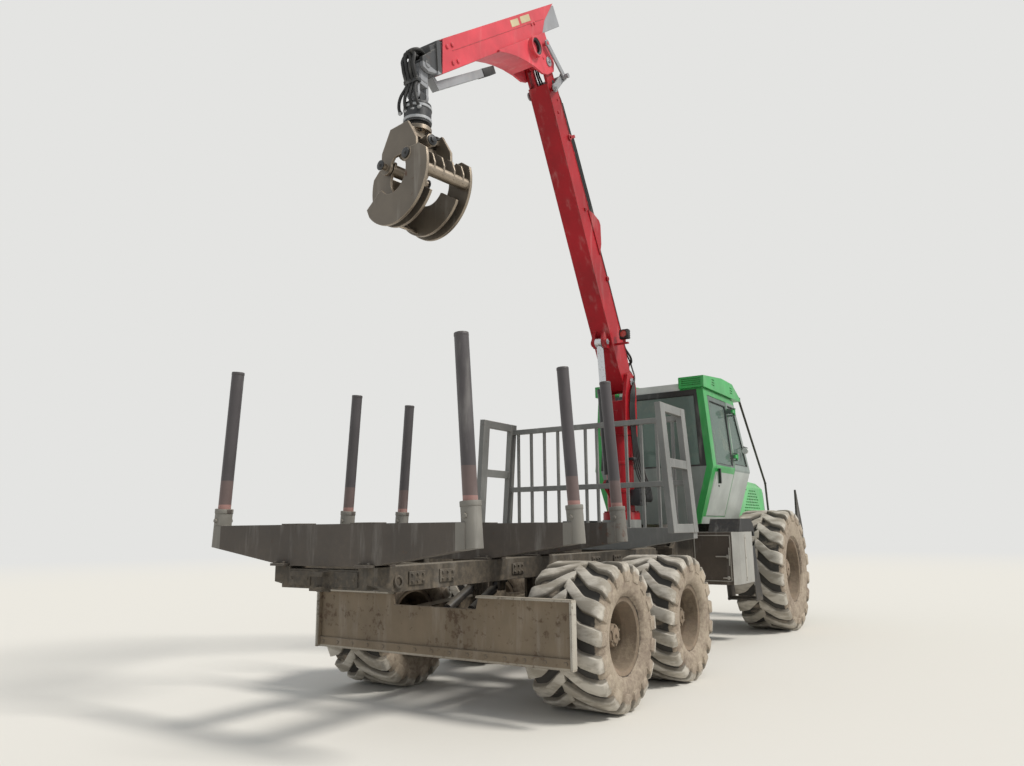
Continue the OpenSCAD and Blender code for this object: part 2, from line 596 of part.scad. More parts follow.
module cab_roof() color("#4f9a5a") machine() {
  // Flat middle, and a raised box along each side with a visor in front
  difference() {
    union() {
      slab_xz(-cab_top_half + 20, cab_top_half - 20) polygon([
        [cab_rear_x + 10, cab_top + seat_gap], [cab_brow_x, cab_top + seat_gap], [cab_brow_x + 120, cab_top + 70],
        [cab_brow_x, cab_top + 120], [cab_rear_x + 10, cab_top + 100]
      ]);
      both_sides() slab_xz(460, cab_top_half + 30) polygon([
        [cab_rear_x - 40, cab_top + 20], [cab_rear_x - 40, cab_top + 175], [cab_rear_x + 760, cab_top + 250],
        [cab_brow_x - 80, cab_top + 240], [cab_brow_x + 300, cab_top + 60], [cab_brow_x + 280, cab_top + 20]
      ]);
    }
    // Louvres in the boxes' outer sides and rear faces
    both_sides() for (x = [cab_rear_x + 310, cab_brow_x - 210]) for (k = [0 : 2])
      block(x, x + 110, cab_top_half + 18, cab_top_half + 40, cab_top + 86 + k * 36, cab_top + 100 + k * 36);
    both_sides() for (k = [0 : 3])
      block(cab_rear_x - 50, cab_rear_x - 28, 500, cab_top_half - 10, cab_top + 50 + k * 28, cab_top + 62 + k * 28);
  }
  // Work lamps over the windscreen
  both_sides() for (y = [130, 330]) translate([cab_brow_x + 40, y, cab_top + 150]) {
    rotate([0, 90, 0]) cylinder(d = 110, h = 70);
    translate([10, -12, -70]) cube([30, 24, 40]);
  }
}
module door(s) machine() side(s) {
  intersection() {
    cab_skin(0, cab_wall);
    slab_xz(500, 1000) difference() {
      door_opening(door_gap);
      door_window(0);
    }
  }
  // Hinge arms and knuckles
  for (z = door_hinge_zs) {
    block(door_front_x - 70, door_front_x - 10, cab_side_y(z) - 14, door_hinge_y, z - 22, z + 22);
    block(door_front_x - 70, door_hinge_x, cab_side_y(z) + 12, door_hinge_y + 10, z - 22, z + 22);
    translate([door_hinge_x, door_hinge_y, z - 40]) cylinder(d = 34, h = 80);
  }
  // Handle
  block(door_rear_x + 40, door_rear_x + 70, cab_knee_half - 10, cab_knee_half + 35, 2020, 2220);
}
door_hinge_x = door_front_x + 34;
door_hinge_y = cab_knee_half + 32;
door_hinge_zs = [2430, 3080];
// Outer face of the cab's side at a height over the widest line
function cab_side_y(z) = cab_knee_half - (cab_knee_half - cab_top_half) * (z - cab_knee_z) / (cab_top - cab_knee_z);
module door_glass(s) color("#8fb3ad") machine() side(s) intersection() {
  cab_skin(16, glass_t);
  slab_xz(500, 1000) door_window(seat_gap);
}
module seat() color("#2b2b2d") machine() {
  block(3900, 4380, -250, 250, 1990, 2110);
  block(4300, 4420, -240, 240, 2110, 2800);
  translate([4150, 0, cab_low + cab_wall + seat_gap]) cylinder(d = 220, h = 1990 - cab_low - cab_wall);
}
module cab_controls() color("#3c3f42") machine() {
  for (s = [-1, 1]) {
    block(3800, 4250, s * 340 - 60, s * 340 + 60, 2180, 2240);
    block(4120, 4220, s * 340 - 40, s * 340 + 40, cab_low + cab_wall + seat_gap, 2180);
    translate([3850, s * 340, 2240]) cylinder(d = 40, h = 140);
  }
  block(4680, 4860, -160, 160, cab_low + cab_wall + seat_gap, 2150);
}
module engine_hood() color("#9fd8a4") machine() difference() {
  union() {
    hood_form();
    both_sides() slab_xz(440, 464) {
      polygon([[hood_hinge[0] - 20, hood_hinge[1]], [hood_hinge[0] + 15, hood_hinge[1]], [hood_nose_x - 12, hood_low + 30], [hood_nose_x - 50, hood_low + 40]]);
      translate(hood_hinge) circle(r = 22);
    }
  }
  both_sides() bar_y(hood_hinge[0], hood_hinge[1], 24 + 2 * pin_play, 400, 500);
  // Cooling slots through both sides, in rows that grow shorter towards the top
  for (row = [0 : 8]) {
    z = hood_low + 80 + row * 45;
    from = hood_rear_x + 318 + row * 41;
    count = 10 - floor(row * 0.75);
    for (k = [0 : count - 1]) block(from + k * 95, from + k * 95 + slot_l, -hood_half - 20, hood_half + 20, z, z + slot_h);
  }
  // Grille in the nose
  for (row = [0 : 5]) both_sides()
    block(hood_nose_x - 120, hood_nose_x + 20, 50, hood_half - 120, hood_low + 110 + row * 48, hood_low + 134 + row * 48);
}
module hood_form() difference() {
  intersection() {
    slab_xz(-hood_half, hood_half) polygon([
      [hood_rear_x, hood_low], [hood_nose_x - 20, hood_low], [hood_nose_x, 1700], [hood_nose_x - 60, 1980],
      [6500, 2150], [hood_rear_x, hood_top]
    ]);
    slab_yz(hood_rear_x - 10, hood_nose_x + 10) polygon([
      [-hood_half, hood_low], [hood_half, hood_low], [hood_half, 2060], [hood_half - 130, hood_top],
      [-hood_half + 130, hood_top], [-hood_half, 2060]
    ]);
  }
  slab_xz(-hood_half + hood_wall, hood_half - hood_wall) polygon([
    [hood_rear_x - 10, hood_low - 10], [hood_nose_x - 50, hood_low - 10], [hood_nose_x - 40, 1690],
    [hood_nose_x - 100, 1960], [6480, 2110], [hood_rear_x - 10, 2170]
  ]);
}

/* Articulation cylinders: tube on the rear unit, rod to the front unit */
steer_foot = [joint_x - 520, 255];
steer_eye = [joint_x + 160, 250];
steer_z = 1020;
module steer_frame(s) machine() side(s) translate([steer_foot[0], steer_foot[1], steer_z])
  rotate([0, 0, atan2(steer_eye[1] - steer_foot[1], steer_eye[0] - steer_foot[0])]) children();
steer_len = norm(steer_eye - steer_foot);
module steer_tube(s) color("#2f3133") steer_frame(s) difference() {
  union() {
    translate([30, 0, 0]) rotate([0, 90, 0]) cylinder(d = 76, h = 395);
    translate([0, 0, -26]) cylinder(d = 80, h = 52);
  }
  translate([0, 0, -60]) cylinder(d = 36, h = 120);
  translate([45, 0, 0]) rotate([0, 90, 0]) cylinder(d = 43, h = 400);
}
module steer_rod(s) color("silver") steer_frame(s) difference() {
  union() {
    translate([228, 0, 0]) rotate([0, 90, 0]) cylinder(d = 42, h = steer_len - 258);
    translate([steer_len, 0, -26]) cylinder(d = 80, h = 52);
  }
  translate([steer_len, 0, -60]) cylinder(d = 36, h = 120);
}

/* Blade cylinders */
blade_foot = [-700, 950];
blade_eye = [blade_x + 85, 650];
module blade_frame() machine() both_sides() translate([blade_foot[0], 130, blade_foot[1]])
  rotate([0, atan2(blade_eye[0] - blade_foot[0], blade_eye[1] - blade_foot[1]), 0]) children();
blade_len = norm(blade_eye - blade_foot);
module blade_tubes() color("#2f3133") blade_frame() difference() {
  union() {
    cylinder(d = 40, h = 100);
    translate([0, 0, 85]) cylinder(d = 80, h = 360);
    rotate([90, 0, 0]) cylinder(d = 84, h = 42, center = true);
  }
  rotate([90, 0, 0]) cylinder(d = 36, h = 90, center = true);
  translate([0, 0, 100]) cylinder(d = 45, h = 400);
}
module blade_rods() color("silver") blade_frame() difference() {
  union() {
    translate([0, 0, 200]) cylinder(d = 44, h = blade_len - 230);
    translate([0, 0, blade_len]) rotate([90, 0, 0]) cylinder(d = 80, h = 38, center = true);
  }
  translate([0, 0, blade_len]) rotate([90, 0, 0]) cylinder(d = 34, h = 90, center = true);
}

/* Crane: local X runs along a boom, local Z is its top side */
module boom_frame() machine() translate([shoulder_x, 0, shoulder_z]) rotate([0, boom_up, 0]) rotate([0, 0, 180]) children();
elbow_x = shoulder_x - boom_len * cos(boom_up);
elbow_z = shoulder_z + boom_len * sin(boom_up);
module jib_frame() machine() translate([elbow_x, 0, elbow_z]) rotate([0, -jib_down, 0]) rotate([0, 0, 180]) children();
// Bar across a boom's side faces
module cross_bar(s, t, d, half) bar_y(s, t, d, -half, half);

lift_foot = [2010, 1980];
lift_eye_local = [650, -250];
lift_eye = [shoulder_x - lift_eye_local[0] * cos(boom_up) + lift_eye_local[1] * sin(boom_up),
  shoulder_z + lift_eye_local[0] * sin(boom_up) + lift_eye_local[1] * cos(boom_up)];
lift_len = norm(lift_eye - lift_foot);

module crane_column() color("#b3262a") machine() difference() {
  union() {
    translate([slew_x, 0, rail_top + 340 + seat_gap]) cylinder(d = 460, h = 90);
    translate([slew_x, 0, rail_top + 210]) cylinder(d = 256, h = 200);
    translate([slew_x, 0, rail_top + 420]) cylinder(d = 340, h = 1290);
    // Fork for the shoulder
    slab_xz(-175, 175) polygon([[2120, 2600], [2490, 2600], [2510, 3240], [2460, 3390], [2350, 3430],
      [2250, 3390], [2160, 3080]]);
    for (y = [-75, 39]) slab_xz(y, y + 36) polygon([[2200, 1760], [2200, 2060], [2060, 2040], [1990, 2035],
      [1950, 2000], [1950, 1950], [2000, 1910]]);
  }
  slab_xz(-boom_w / 2 - 6, boom_w / 2 + 6) polygon([[1900, 2960], [2230, 3060], [2600, 3060], [2600, 3600], [1900, 3600]]);
  bar_y(shoulder_x, shoulder_z, pin_d + 2 * pin_play, -200, 200);
  bar_y(lift_foot[0], lift_foot[1], 60 + 2 * pin_play, -100, 100);
}
module main_boom() color("#b3262a") boom_frame() difference() {
  union() {
    slab_xz(-boom_w / 2, boom_w / 2) polygon([
      [-60, -120], [300, -boom_foot_d / 2], [1200, -boom_foot_d / 2], [boom_len - 230, -boom_head_d / 2],
      [boom_len - 230, boom_head_d / 2], [1200, boom_foot_d / 2], [300, boom_foot_d / 2], [-60, 120], [-120, 60], [-120, -60]
    ]);
    // Head plates to the elbow
    for (y = [-boom_w / 2, boom_w / 2 - 30]) slab_xz(y, y + 30) {
      polygon([[boom_len - 330, -100], [boom_len, -95], [boom_len, 95], [boom_len - 330, 110]]);
      translate([boom_len, 0]) circle(r = 95);
    }
    cross_bar(0, 0, pin_d, 178);
    // Ears for the lift cylinder and for the jib cylinder
    both_sides() slab_xz(44.5, 84) polygon([[520, -160], [800, -160], [740, -250], [700, -300], [600, -300], [570, -250]]);
    both_sides() bar_y(lift_eye_local[0], lift_eye_local[1], 90, 80, 104);
    both_sides() slab_xz(38, 70) polygon([[1300, 160], [1490, 160], [1450, 280], [1400, 305], [1350, 280]]);
    cross_bar(rocker_foot[0], rocker_foot[1], 50, boom_w / 2 + 56);
  }
  // Hollow box
  slab_xz(-boom_w / 2 + boom_wall, boom_w / 2 - boom_wall) polygon([
    [450, -boom_foot_d / 2 + boom_wall], [1200, -boom_foot_d / 2 + boom_wall],
    [boom_len - 220, -boom_head_d / 2 + boom_wall], [boom_len - 220, boom_head_d / 2 - boom_wall], [1200, boom_foot_d / 2 - boom_wall], [450, boom_foot_d / 2 - boom_wall]
  ]);
  cross_bar(boom_len, 0, pin_d + 2 * pin_play, 200);
  cross_bar(jib_foot[0], jib_foot[1], 50 + 2 * pin_play, 100);
}
// Rocker and link beside the elbow, in the main boom's local X and Z
rocker_foot = [boom_len - 300, -40];
rocker_eye = [boom_len - 190, 240];
link_eye = [boom_len + 195, 0];
jib_foot = [1400, 245];
jib_cyl_len = norm(rocker_eye - jib_foot);
module plate_link(a, b, d, y0, y1) {
  l = norm(b - a);
  translate([a[0], y1, a[1]]) rotate([0, -atan2(b[1] - a[1], b[0] - a[0]), 0]) rotate([90, 0, 0]) linear_extrude(y1 - y0) {
    circle(d = d);
    translate([l, 0]) circle(d = d);
    translate([0, -d / 2 + 8]) square([l, d - 16]);
  }
}
module rocker() color("#9a9c9c") boom_frame() difference() {
  union() {
    both_sides() plate_link(rocker_foot, rocker_eye, 100, boom_w / 2 + 36, boom_w / 2 + 54);
    both_sides() bar_y(rocker_eye[0], rocker_eye[1], 50, 38, boom_w / 2 + 56);
  }
  cross_bar(rocker_foot[0], rocker_foot[1], 50 + 2 * pin_play, 200);
}
module elbow_link() color("#9a9c9c") boom_frame() difference() {
  union() {
    both_sides() plate_link(rocker_eye, link_eye, 84, boom_w / 2 + 62, boom_w / 2 + 80);
    both_sides() bar_y(rocker_eye[0], rocker_eye[1], 56, boom_w / 2 + 70, boom_w / 2 + 130);
  }
  cross_bar(link_eye[0], link_eye[1], 40 + 2 * pin_play, 300);
}
module outer_boom() color("#d8474c") jib_frame() {
  outer_box();
  slide_pads();
}
module outer_box() difference() {
  union() {
    slab_xz(-boom_w / 2, boom_w / 2) polygon([
      [-700, jib_low + jib_d], [jib_len, jib_low + jib_d], [jib_len + 230, jib_low], [-130, jib_low], [-320, jib_low + 140]
    ]);
    // Knuckle plates down to the elbow and the curved plate between them
    both_sides() slab_xz(boom_w / 2 + 6, boom_w / 2 + 30) polygon([
      [1080, jib_low], [900, 245], [740, 190], [560, 110], [380, 10], [240, -90], [120, -125], [-60, -125],
      [-140, -40], [-150, 200], [-150, jib_low + 20], [1080, jib_low + 20]
    ]);
    slab_xz(-boom_w / 2 - 6, boom_w / 2 + 6) polygon([
      [1080, jib_low], [900, 245], [740, 190], [560, 110], [400, 22], [385, 42], [550, 135], [730, 214], [890, 270], [960, jib_low], [960, jib_low + 10], [1080, jib_low + 10]
    ]);
    cross_bar(0, 0, pin_d, boom_w / 2 + 30);
    both_sides() bar_y(link_pin[0], link_pin[1], 40, boom_w / 2 + 20, boom_w / 2 + 84);
    // Hose tube through the knuckle
    both_sides() bar_y(270, 205, 230, boom_w / 2 + 6, boom_w / 2 + 85);
  }
  slab_xz(-boom_w / 2 + boom_wall, boom_w / 2 - boom_wall) polygon([
    [-800, jib_low + jib_d - boom_wall], [jib_len + 300, jib_low + jib_d - boom_wall],
    [jib_len + 300, jib_low + boom_wall], [-800, jib_low + boom_wall]
  ]);
  both_sides() bar_y(270, 205, 190, boom_w / 2 + 40, boom_w / 2 + 90);
}
// Slide pads round the extension, at the outer boom's mouth and at its rear
module slide_pads() for (x = [-60, jib_len - 180]) {
  for (z = [jib_low + boom_wall - 1, jib_low + jib_d - boom_wall - ext_clear + 0.5])
    block(x, x + 120, -80, 80, z, z + ext_clear + 0.5);
  both_sides() block(x, x + 120, boom_w / 2 - boom_wall - ext_clear + 0.5, boom_w / 2 - boom_wall + 1, jib_low + 60, jib_low + jib_d - 60);
}
// The link's pin, in the outer boom's local X and Z
swing = boom_up + jib_down;
link_pin = [(link_eye[0] - boom_len) * cos(swing) - link_eye[1] * sin(swing),
  (link_eye[0] - boom_len) * sin(swing) + link_eye[1] * cos(swing)];
ext_clear = 8;
ext_wall = 10;
module extension() color("#b9bcc0") jib_frame() difference() {
  union() {
    slab_xz(-boom_w / 2 + boom_wall + ext_clear, boom_w / 2 - boom_wall - ext_clear) polygon([
      [-740, jib_low + boom_wall + ext_clear], [-740, jib_low + jib_d - boom_wall - ext_clear],
      [jib_len + 240, jib_low + jib_d - boom_wall - ext_clear], [jib_len + 300, jib_low + boom_wall + ext_clear]
    ]);
    // Head plate, ears of the hanging pin and the hose guard below the boom
    slab_xz(-boom_w / 2, boom_w / 2) polygon([
      [jib_len + 60, jib_low + jib_d], [jib_len + 120, jib_low + jib_d], [jib_len + 305, jib_low + 5], [jib_len + 234, jib_low + 5]
    ]);
    for (y = [-110, 74]) slab_xz(y, y + 36) polygon([
      [jib_len + 120, jib_low + jib_d - 60], [hang_local[0] + 30, hang_local[1] + 80], [hang_local[0] + 80, hang_local[1]],
      [hang_local[0] + 30, hang_local[1] - 60], [jib_len + 300, jib_low + 20], [jib_len + 200, jib_low + 120]
    ]);
    slab_xz(-40, 40) polygon([[jib_len + 295, jib_low + 30], [jib_len + 250, jib_low + 30], [jib_len + 225, jib_low - 40],
      [1350, jib_low - 90], [1330, jib_low - 170], [jib_len + 250, jib_low - 120]]);
    cross_bar(hang_local[0], hang_local[1], 60, 112);
  }
  // Hollow, open at the rear
  slab_xz(-boom_w / 2 + boom_wall + ext_clear + ext_wall, boom_w / 2 - boom_wall - ext_clear - ext_wall) polygon([
    [-760, jib_low + boom_wall + ext_clear + ext_wall], [-760, jib_low + jib_d - boom_wall - ext_clear - ext_wall],
    [jib_len + 20, jib_low + jib_d - boom_wall - ext_clear - ext_wall],
    [jib_len + 20, jib_low + boom_wall + ext_clear + ext_wall]
  ]);
}
hang_local = [jib_len + hang_out, jib_low + hang_over];
hang_x = elbow_x - hang_local[0] * cos(jib_down) - hang_local[1] * sin(jib_down);
hang_z = elbow_z - hang_local[0] * sin(jib_down) + hang_local[1] * cos(jib_down);
rotor_low = hang_z - rotor_drop;

// A cylinder's tube and rod along +X of the current frame, eyes at 0 and at len
module ram_tube(len, d, bore, eye_d, eye_w, rod_d) difference() {
  union() {
    rotate([0, 90, 0]) cylinder(d = eye_w - 4, h = eye_d + 20);
    translate([eye_d, 0, 0]) rotate([0, 90, 0]) cylinder(d = d, h = len - eye_d);
    translate([len - 50, 0, 0]) rotate([0, 90, 0]) cylinder(d = d + 14, h = 50);
    rotate([90, 0, 0]) cylinder(d = eye_d, h = eye_w, center = true);
  }
  rotate([90, 0, 0]) cylinder(d = bore, h = eye_w + 60, center = true);
  translate([eye_d + 25, 0, 0]) rotate([0, 90, 0]) cylinder(d = d - 24, h = len - eye_d - 95);
  translate([eye_d + 25, 0, 0]) rotate([0, 90, 0]) cylinder(d = rod_d + 1, h = len);
}
module ram_rod(start, len, d, bore, eye_d, eye_w) difference() {
  union() {
    translate([start, 0, 0]) rotate([0, 90, 0]) cylinder(d = d, h = len - start - eye_d / 4);
    translate([start, 0, 0]) rotate([0, 90, 0]) cylinder(d = d + 12, h = 60);
    translate([len, 0, 0]) rotate([90, 0, 0]) cylinder(d = eye_d, h = eye_w, center = true);
  }
  translate([len, 0, 0]) rotate([90, 0, 0]) cylinder(d = bore, h = eye_w + 60, center = true);
}
module lift_frame() machine() translate([lift_foot[0], 0, lift_foot[1]])
  rotate([0, -atan2(lift_eye[1] - lift_foot[1], lift_eye[0] - lift_foot[0]), 0]) children();
module lift_tube() color("#2f3133") lift_frame() {
  ram_tube(1180, 150, 59, 120, 70, 88);
  rotate([90, 0, 0]) cylinder(d = 60, h = 150, center = true);
}
module lift_rod() color("silver") lift_frame() ram_rod(700, lift_len, 88, 60, 130, 88);
module jib_cyl_frame() boom_frame() translate([jib_foot[0], 0, jib_foot[1]])
  rotate([0, -atan2(rocker_eye[1] - jib_foot[1], rocker_eye[0] - jib_foot[0]), 0]) children();
module jib_tube() color("#2f3133") jib_cyl_frame() {
  ram_tube(1740, 110, 49, 90, 62, 60);
  rotate([90, 0, 0]) cylinder(d = 50, h = 140, center = true);
}
module jib_rod() color("silver") jib_cyl_frame() ram_rod(1100, jib_cyl_len, 60, 54, 96, 60);

/* Grapple */
module hanger() color("#8b8d8f") machine() difference() {
  union() {
    block(hang_x - 60, hang_x + 60, -66, 66, hang_z - hang_drop + 90, hang_z - 40);
    bar_y(hang_x, hang_z, 130, -66, 66);
    for (x = [hang_x - 76, hang_x + 44]) translate([x, 0, hang_z - hang_drop]) rotate([0, 90, 0]) cylinder(d = 130, h = 32);
    for (x = [hang_x - 76, hang_x + 44]) block(x, x + 32, -60, 60, hang_z - hang_drop, hang_z - hang_drop + 150);
    translate([hang_x - 80, 0, hang_z - hang_drop]) rotate([0, 90, 0]) cylinder(d = 55, h = 160);
  }
  bar_y(hang_x, hang_z, 60 + 2 * pin_play, -100, 100);
}
module rotator() color("#5c5f61") machine() difference() {
  union() {
    translate([hang_x - 40, 0, hang_z - hang_drop]) rotate([0, 90, 0]) cylinder(d = 120, h = 80);
    block(hang_x - 40, hang_x + 40, -60, 60, hang_z - hang_drop - 110, hang_z - hang_drop);
    translate([hang_x, 0, rotor_low + 40]) cylinder(d = 250, h = 190);
    translate([hang_x, 0, rotor_low]) cylinder(d = 180, h = 60);
  }
  translate([hang_x - 60, 0, hang_z - hang_drop]) rotate([0, 90, 0]) cylinder(d = 55 + 2 * pin_play, h = 120);
}
module grapple_place() machine() translate([hang_x, 0, rotor_low]) rotate([0, 0, grapple_turn]) children();
// In the grapple's own frame claws swing about Y, at these X and Z places
claw_pin = [170, -380];
ear_y = (wide_y + narrow_y) / 2;
module grapple_frame() color("#6a655d") grapple_place() {
  translate([0, 0, -40 - seat_gap]) cylinder(d = 260, h = 40);
  // Ears between the claws' side plates, and the box that joins them
  for (y = [-ear_y - 12, ear_y - 12]) slab_xz(y, y + 24) {
    polygon([
      [-120, -36], [120, -36], [235, -230], [240, -380], [170, -445], [60, -320], [-60, -320], [-170, -445], [-240, -380], [-235, -230]
    ]);
    for (s = [-1, 1]) translate([s * claw_pin[0], claw_pin[1]]) circle(r = 70);
  }
  block(-80, 80, -ear_y, ear_y, -110, -38);
  // Barrel of the claws' cylinder
  bar_x(-170, 0, 200, 115, 400);
  for (s = [-1, 1]) bar_y(s * claw_pin[0], claw_pin[1], 60, -wide_y - 20, wide_y + 20);
}
// Round bar along X through the middle, between the ears
module bar_x(z, y, half, d, l) {
  translate([-half, y, z]) rotate([0, 90, 0]) cylinder(d = d, h = l);
  block(-40, 40, -ear_y, ear_y, z - 30, z + 30);
}
claw_mid = -530;
// Crescent from the pin over the belly to the tip
module claw_outline(r) intersection() {
  difference() {
    translate([0, claw_mid]) circle(r = r, $fn = 96);
    translate([-20, claw_mid + 30]) circle(r = 185, $fn = 96);
  }
  polygon([[110, -330], [330, -342], [r + 60, -470], [r + 60, claw_mid - r - 20], [-250, claw_mid - r - 20],
    [-370, claw_mid - 210], [-190, claw_mid - 90], [20, claw_mid - 20], [90, claw_mid + 80]]);
}
module claw_bores() bar_y(claw_pin[0], claw_pin[1], 60 + 2 * pin_play, -400, 400);
// Wide claw: two crescents joined by a ribbed tube at the belly
module claw_wide() color("#6a655d") grapple_place() difference() {
  union() {
    for (y = [-wide_y, wide_y]) {
      slab_xz(y - claw_plate / 2, y + claw_plate / 2) claw_outline(claw_r);
      bar_y(claw_pin[0], claw_pin[1], 120, y - claw_plate / 2 - 4, y + claw_plate / 2 + 4);
    }
    bar_y(claw_belly[0], claw_belly[1], 104, -wide_y, wide_y);
    for (y = [-165, -60, 60, 165]) slab_xz(y - 8, y + 8) polygon([
      [350, -600], [425, -600], [436, -520], [405, -430], [345, -385], [300, -410], [335, -500]
    ]);
  }
  claw_bores();
}
claw_belly = [376, -572];
// Narrow claw: two crescents with a bent back sheet between them
module claw_narrow() color("#6a655d") grapple_place() rotate([0, 0, 180]) difference() {
  union() {
    for (y = [-narrow_y, narrow_y]) slab_xz(y - claw_plate / 2, y + claw_plate / 2) claw_outline(claw_r - 12);
    slab_xz(-narrow_y, narrow_y) claw_back();
    bar_y(claw_pin[0], claw_pin[1], 110, -narrow_y - claw_plate / 2, narrow_y + claw_plate / 2);
  }
  claw_bores();
}
module claw_back() intersection() {
  difference() {
    translate([0, claw_mid]) circle(r = claw_r - 34, $fn = 96);
    translate([0, claw_mid]) circle(r = claw_r - 52, $fn = 96);
  }
  polygon([[280, -360], [claw_r + 50, -360], [claw_r + 50, claw_mid - claw_r - 20], [120, claw_mid - claw_r - 20], [240, claw_mid]]);
}

rear_frame();
bolsters();
stakes();
headboard();
bogie_beam(1);  // bogie_beam_left
bogie_beam(-1);  // bogie_beam_right
bogie_axle();
crane_base();
blade();
blade_tubes();
blade_rods();
front_frame();
front_axle();
engine();
side_boxes();
mudguards();
front_guard();
cab_shell();
cab_roof();
cab_glass();
seat();
cab_controls();
engine_hood();
color("#b9bdb8") door(1);  // door_left
color("#b9bdb8") door(-1);  // door_right
door_glass(1);  // door_glass_left
door_glass(-1);  // door_glass_right
steer_tube(1);  // steer_tube_left
steer_tube(-1);  // steer_tube_right
steer_rod(1);  // steer_rod_left
steer_rod(-1);  // steer_rod_right
front_tyre(1);  // tyre_front_left
front_tyre(-1);  // tyre_front_right
rear_tyre(bogie_half, 1);  // tyre_mid_left
rear_tyre(bogie_half, -1);  // tyre_mid_right
rear_tyre(-bogie_half, 1);  // tyre_rear_left
rear_tyre(-bogie_half, -1);  // tyre_rear_right
front_rim(1);  // rim_front_left
front_rim(-1);  // rim_front_right
rear_rim(bogie_half, 1);  // rim_mid_left
rear_rim(bogie_half, -1);  // rim_mid_right
rear_rim(-bogie_half, 1);  // rim_rear_left
rear_rim(-bogie_half, -1);  // rim_rear_right
crane_column();
lift_tube();
lift_rod();
main_boom();
jib_tube();
jib_rod();
rocker();
elbow_link();
outer_boom();
extension();
hanger();
rotator();
grapple_frame();
claw_wide();
claw_narrow();
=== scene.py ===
import bpy
import bmesh
import json
import math
from mathutils import Matrix, Vector


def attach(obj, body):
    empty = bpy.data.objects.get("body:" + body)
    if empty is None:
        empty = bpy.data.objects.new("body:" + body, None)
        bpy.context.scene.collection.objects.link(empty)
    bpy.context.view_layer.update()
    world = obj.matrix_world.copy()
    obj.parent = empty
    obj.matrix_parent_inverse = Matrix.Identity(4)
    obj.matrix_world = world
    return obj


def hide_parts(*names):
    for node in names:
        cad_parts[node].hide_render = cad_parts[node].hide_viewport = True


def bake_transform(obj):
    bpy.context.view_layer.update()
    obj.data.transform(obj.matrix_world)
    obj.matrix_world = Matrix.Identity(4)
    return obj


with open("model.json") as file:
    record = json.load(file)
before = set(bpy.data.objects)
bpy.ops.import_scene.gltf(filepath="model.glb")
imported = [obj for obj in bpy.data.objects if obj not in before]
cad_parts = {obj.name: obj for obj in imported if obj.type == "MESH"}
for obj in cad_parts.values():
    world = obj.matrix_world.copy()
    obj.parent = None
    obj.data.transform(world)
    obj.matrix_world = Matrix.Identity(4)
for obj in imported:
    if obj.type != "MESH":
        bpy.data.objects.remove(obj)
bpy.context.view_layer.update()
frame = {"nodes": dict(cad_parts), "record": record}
record = frame["record"]
nodes = frame["nodes"]
print("frame loaded:", len(nodes), "nodes")

# the CAD source measures X from the bogie centre, the frame from the middle of the machine
bogieToFrame = -2.030


def tone(code, alpha=1.0):
    # a written screen colour as the linear colour that a shader wants
    parts = [int(code[i:i + 2], 16) / 255 for i in (1, 3, 5)]
    return tuple(c / 12.92 if c <= 0.04045 else ((c + 0.055) / 1.055) ** 2.4 for c in parts) + (alpha,)


def at(x, y, z):
    return Vector((x + bogieToFrame, y, z))


cameraSetup = {
    "place": (-6.69, -4.15, 1.46),
    "heading": 32.70,
    "pitch": 10.70,
    "roll": -0.58,
    "lens": 26.97,
    "sensor": 36,
    "reach": 200,
}


def addCamera(s):
    data = bpy.data.cameras.new("viewCamera")
    data.lens = s["lens"]
    data.sensor_width = s["sensor"]
    data.clip_end = s["reach"]
    cam = bpy.data.objects.new("viewCamera", data)
    bpy.context.scene.collection.objects.link(cam)
    turn = (Matrix.Rotation(math.radians(s["heading"] - 90), 4, "Z")
            @ Matrix.Rotation(math.radians(90 + s["pitch"]), 4, "X")
            @ Matrix.Rotation(math.radians(s["roll"]), 4, "Z"))
    cam.matrix_world = Matrix.Translation(at(*s["place"])) @ turn
    bpy.context.scene.camera = cam


class Value:
    # a number socket that takes part in Python expressions
    def __init__(self, bench, socket):
        self.bench = bench
        self.socket = socket

    def maths(self, operation, *others, clamp=False):
        made = self.bench.node("Math", {"operation": operation, "use_clamp": clamp},
                               dict(enumerate((self, *others))))
        return Value(self.bench, made.outputs[0])

    def __add__(self, other):
        return self.maths("ADD", other)

    def __radd__(self, other):
        return self.maths("ADD", other)

    def __sub__(self, other):
        return self.maths("SUBTRACT", other)

    def __rsub__(self, other):
        return self * -1.0 + other

    def __mul__(self, other):
        return self.maths("MULTIPLY", other)

    def __rmul__(self, other):
        return self.maths("MULTIPLY", other)

    def __gt__(self, other):
        return self.maths("GREATER_THAN", other)

    def high(self, other):
        return self.maths("MAXIMUM", other)

    def held(self):
        return self.maths("ADD", 0.0, clamp=True)


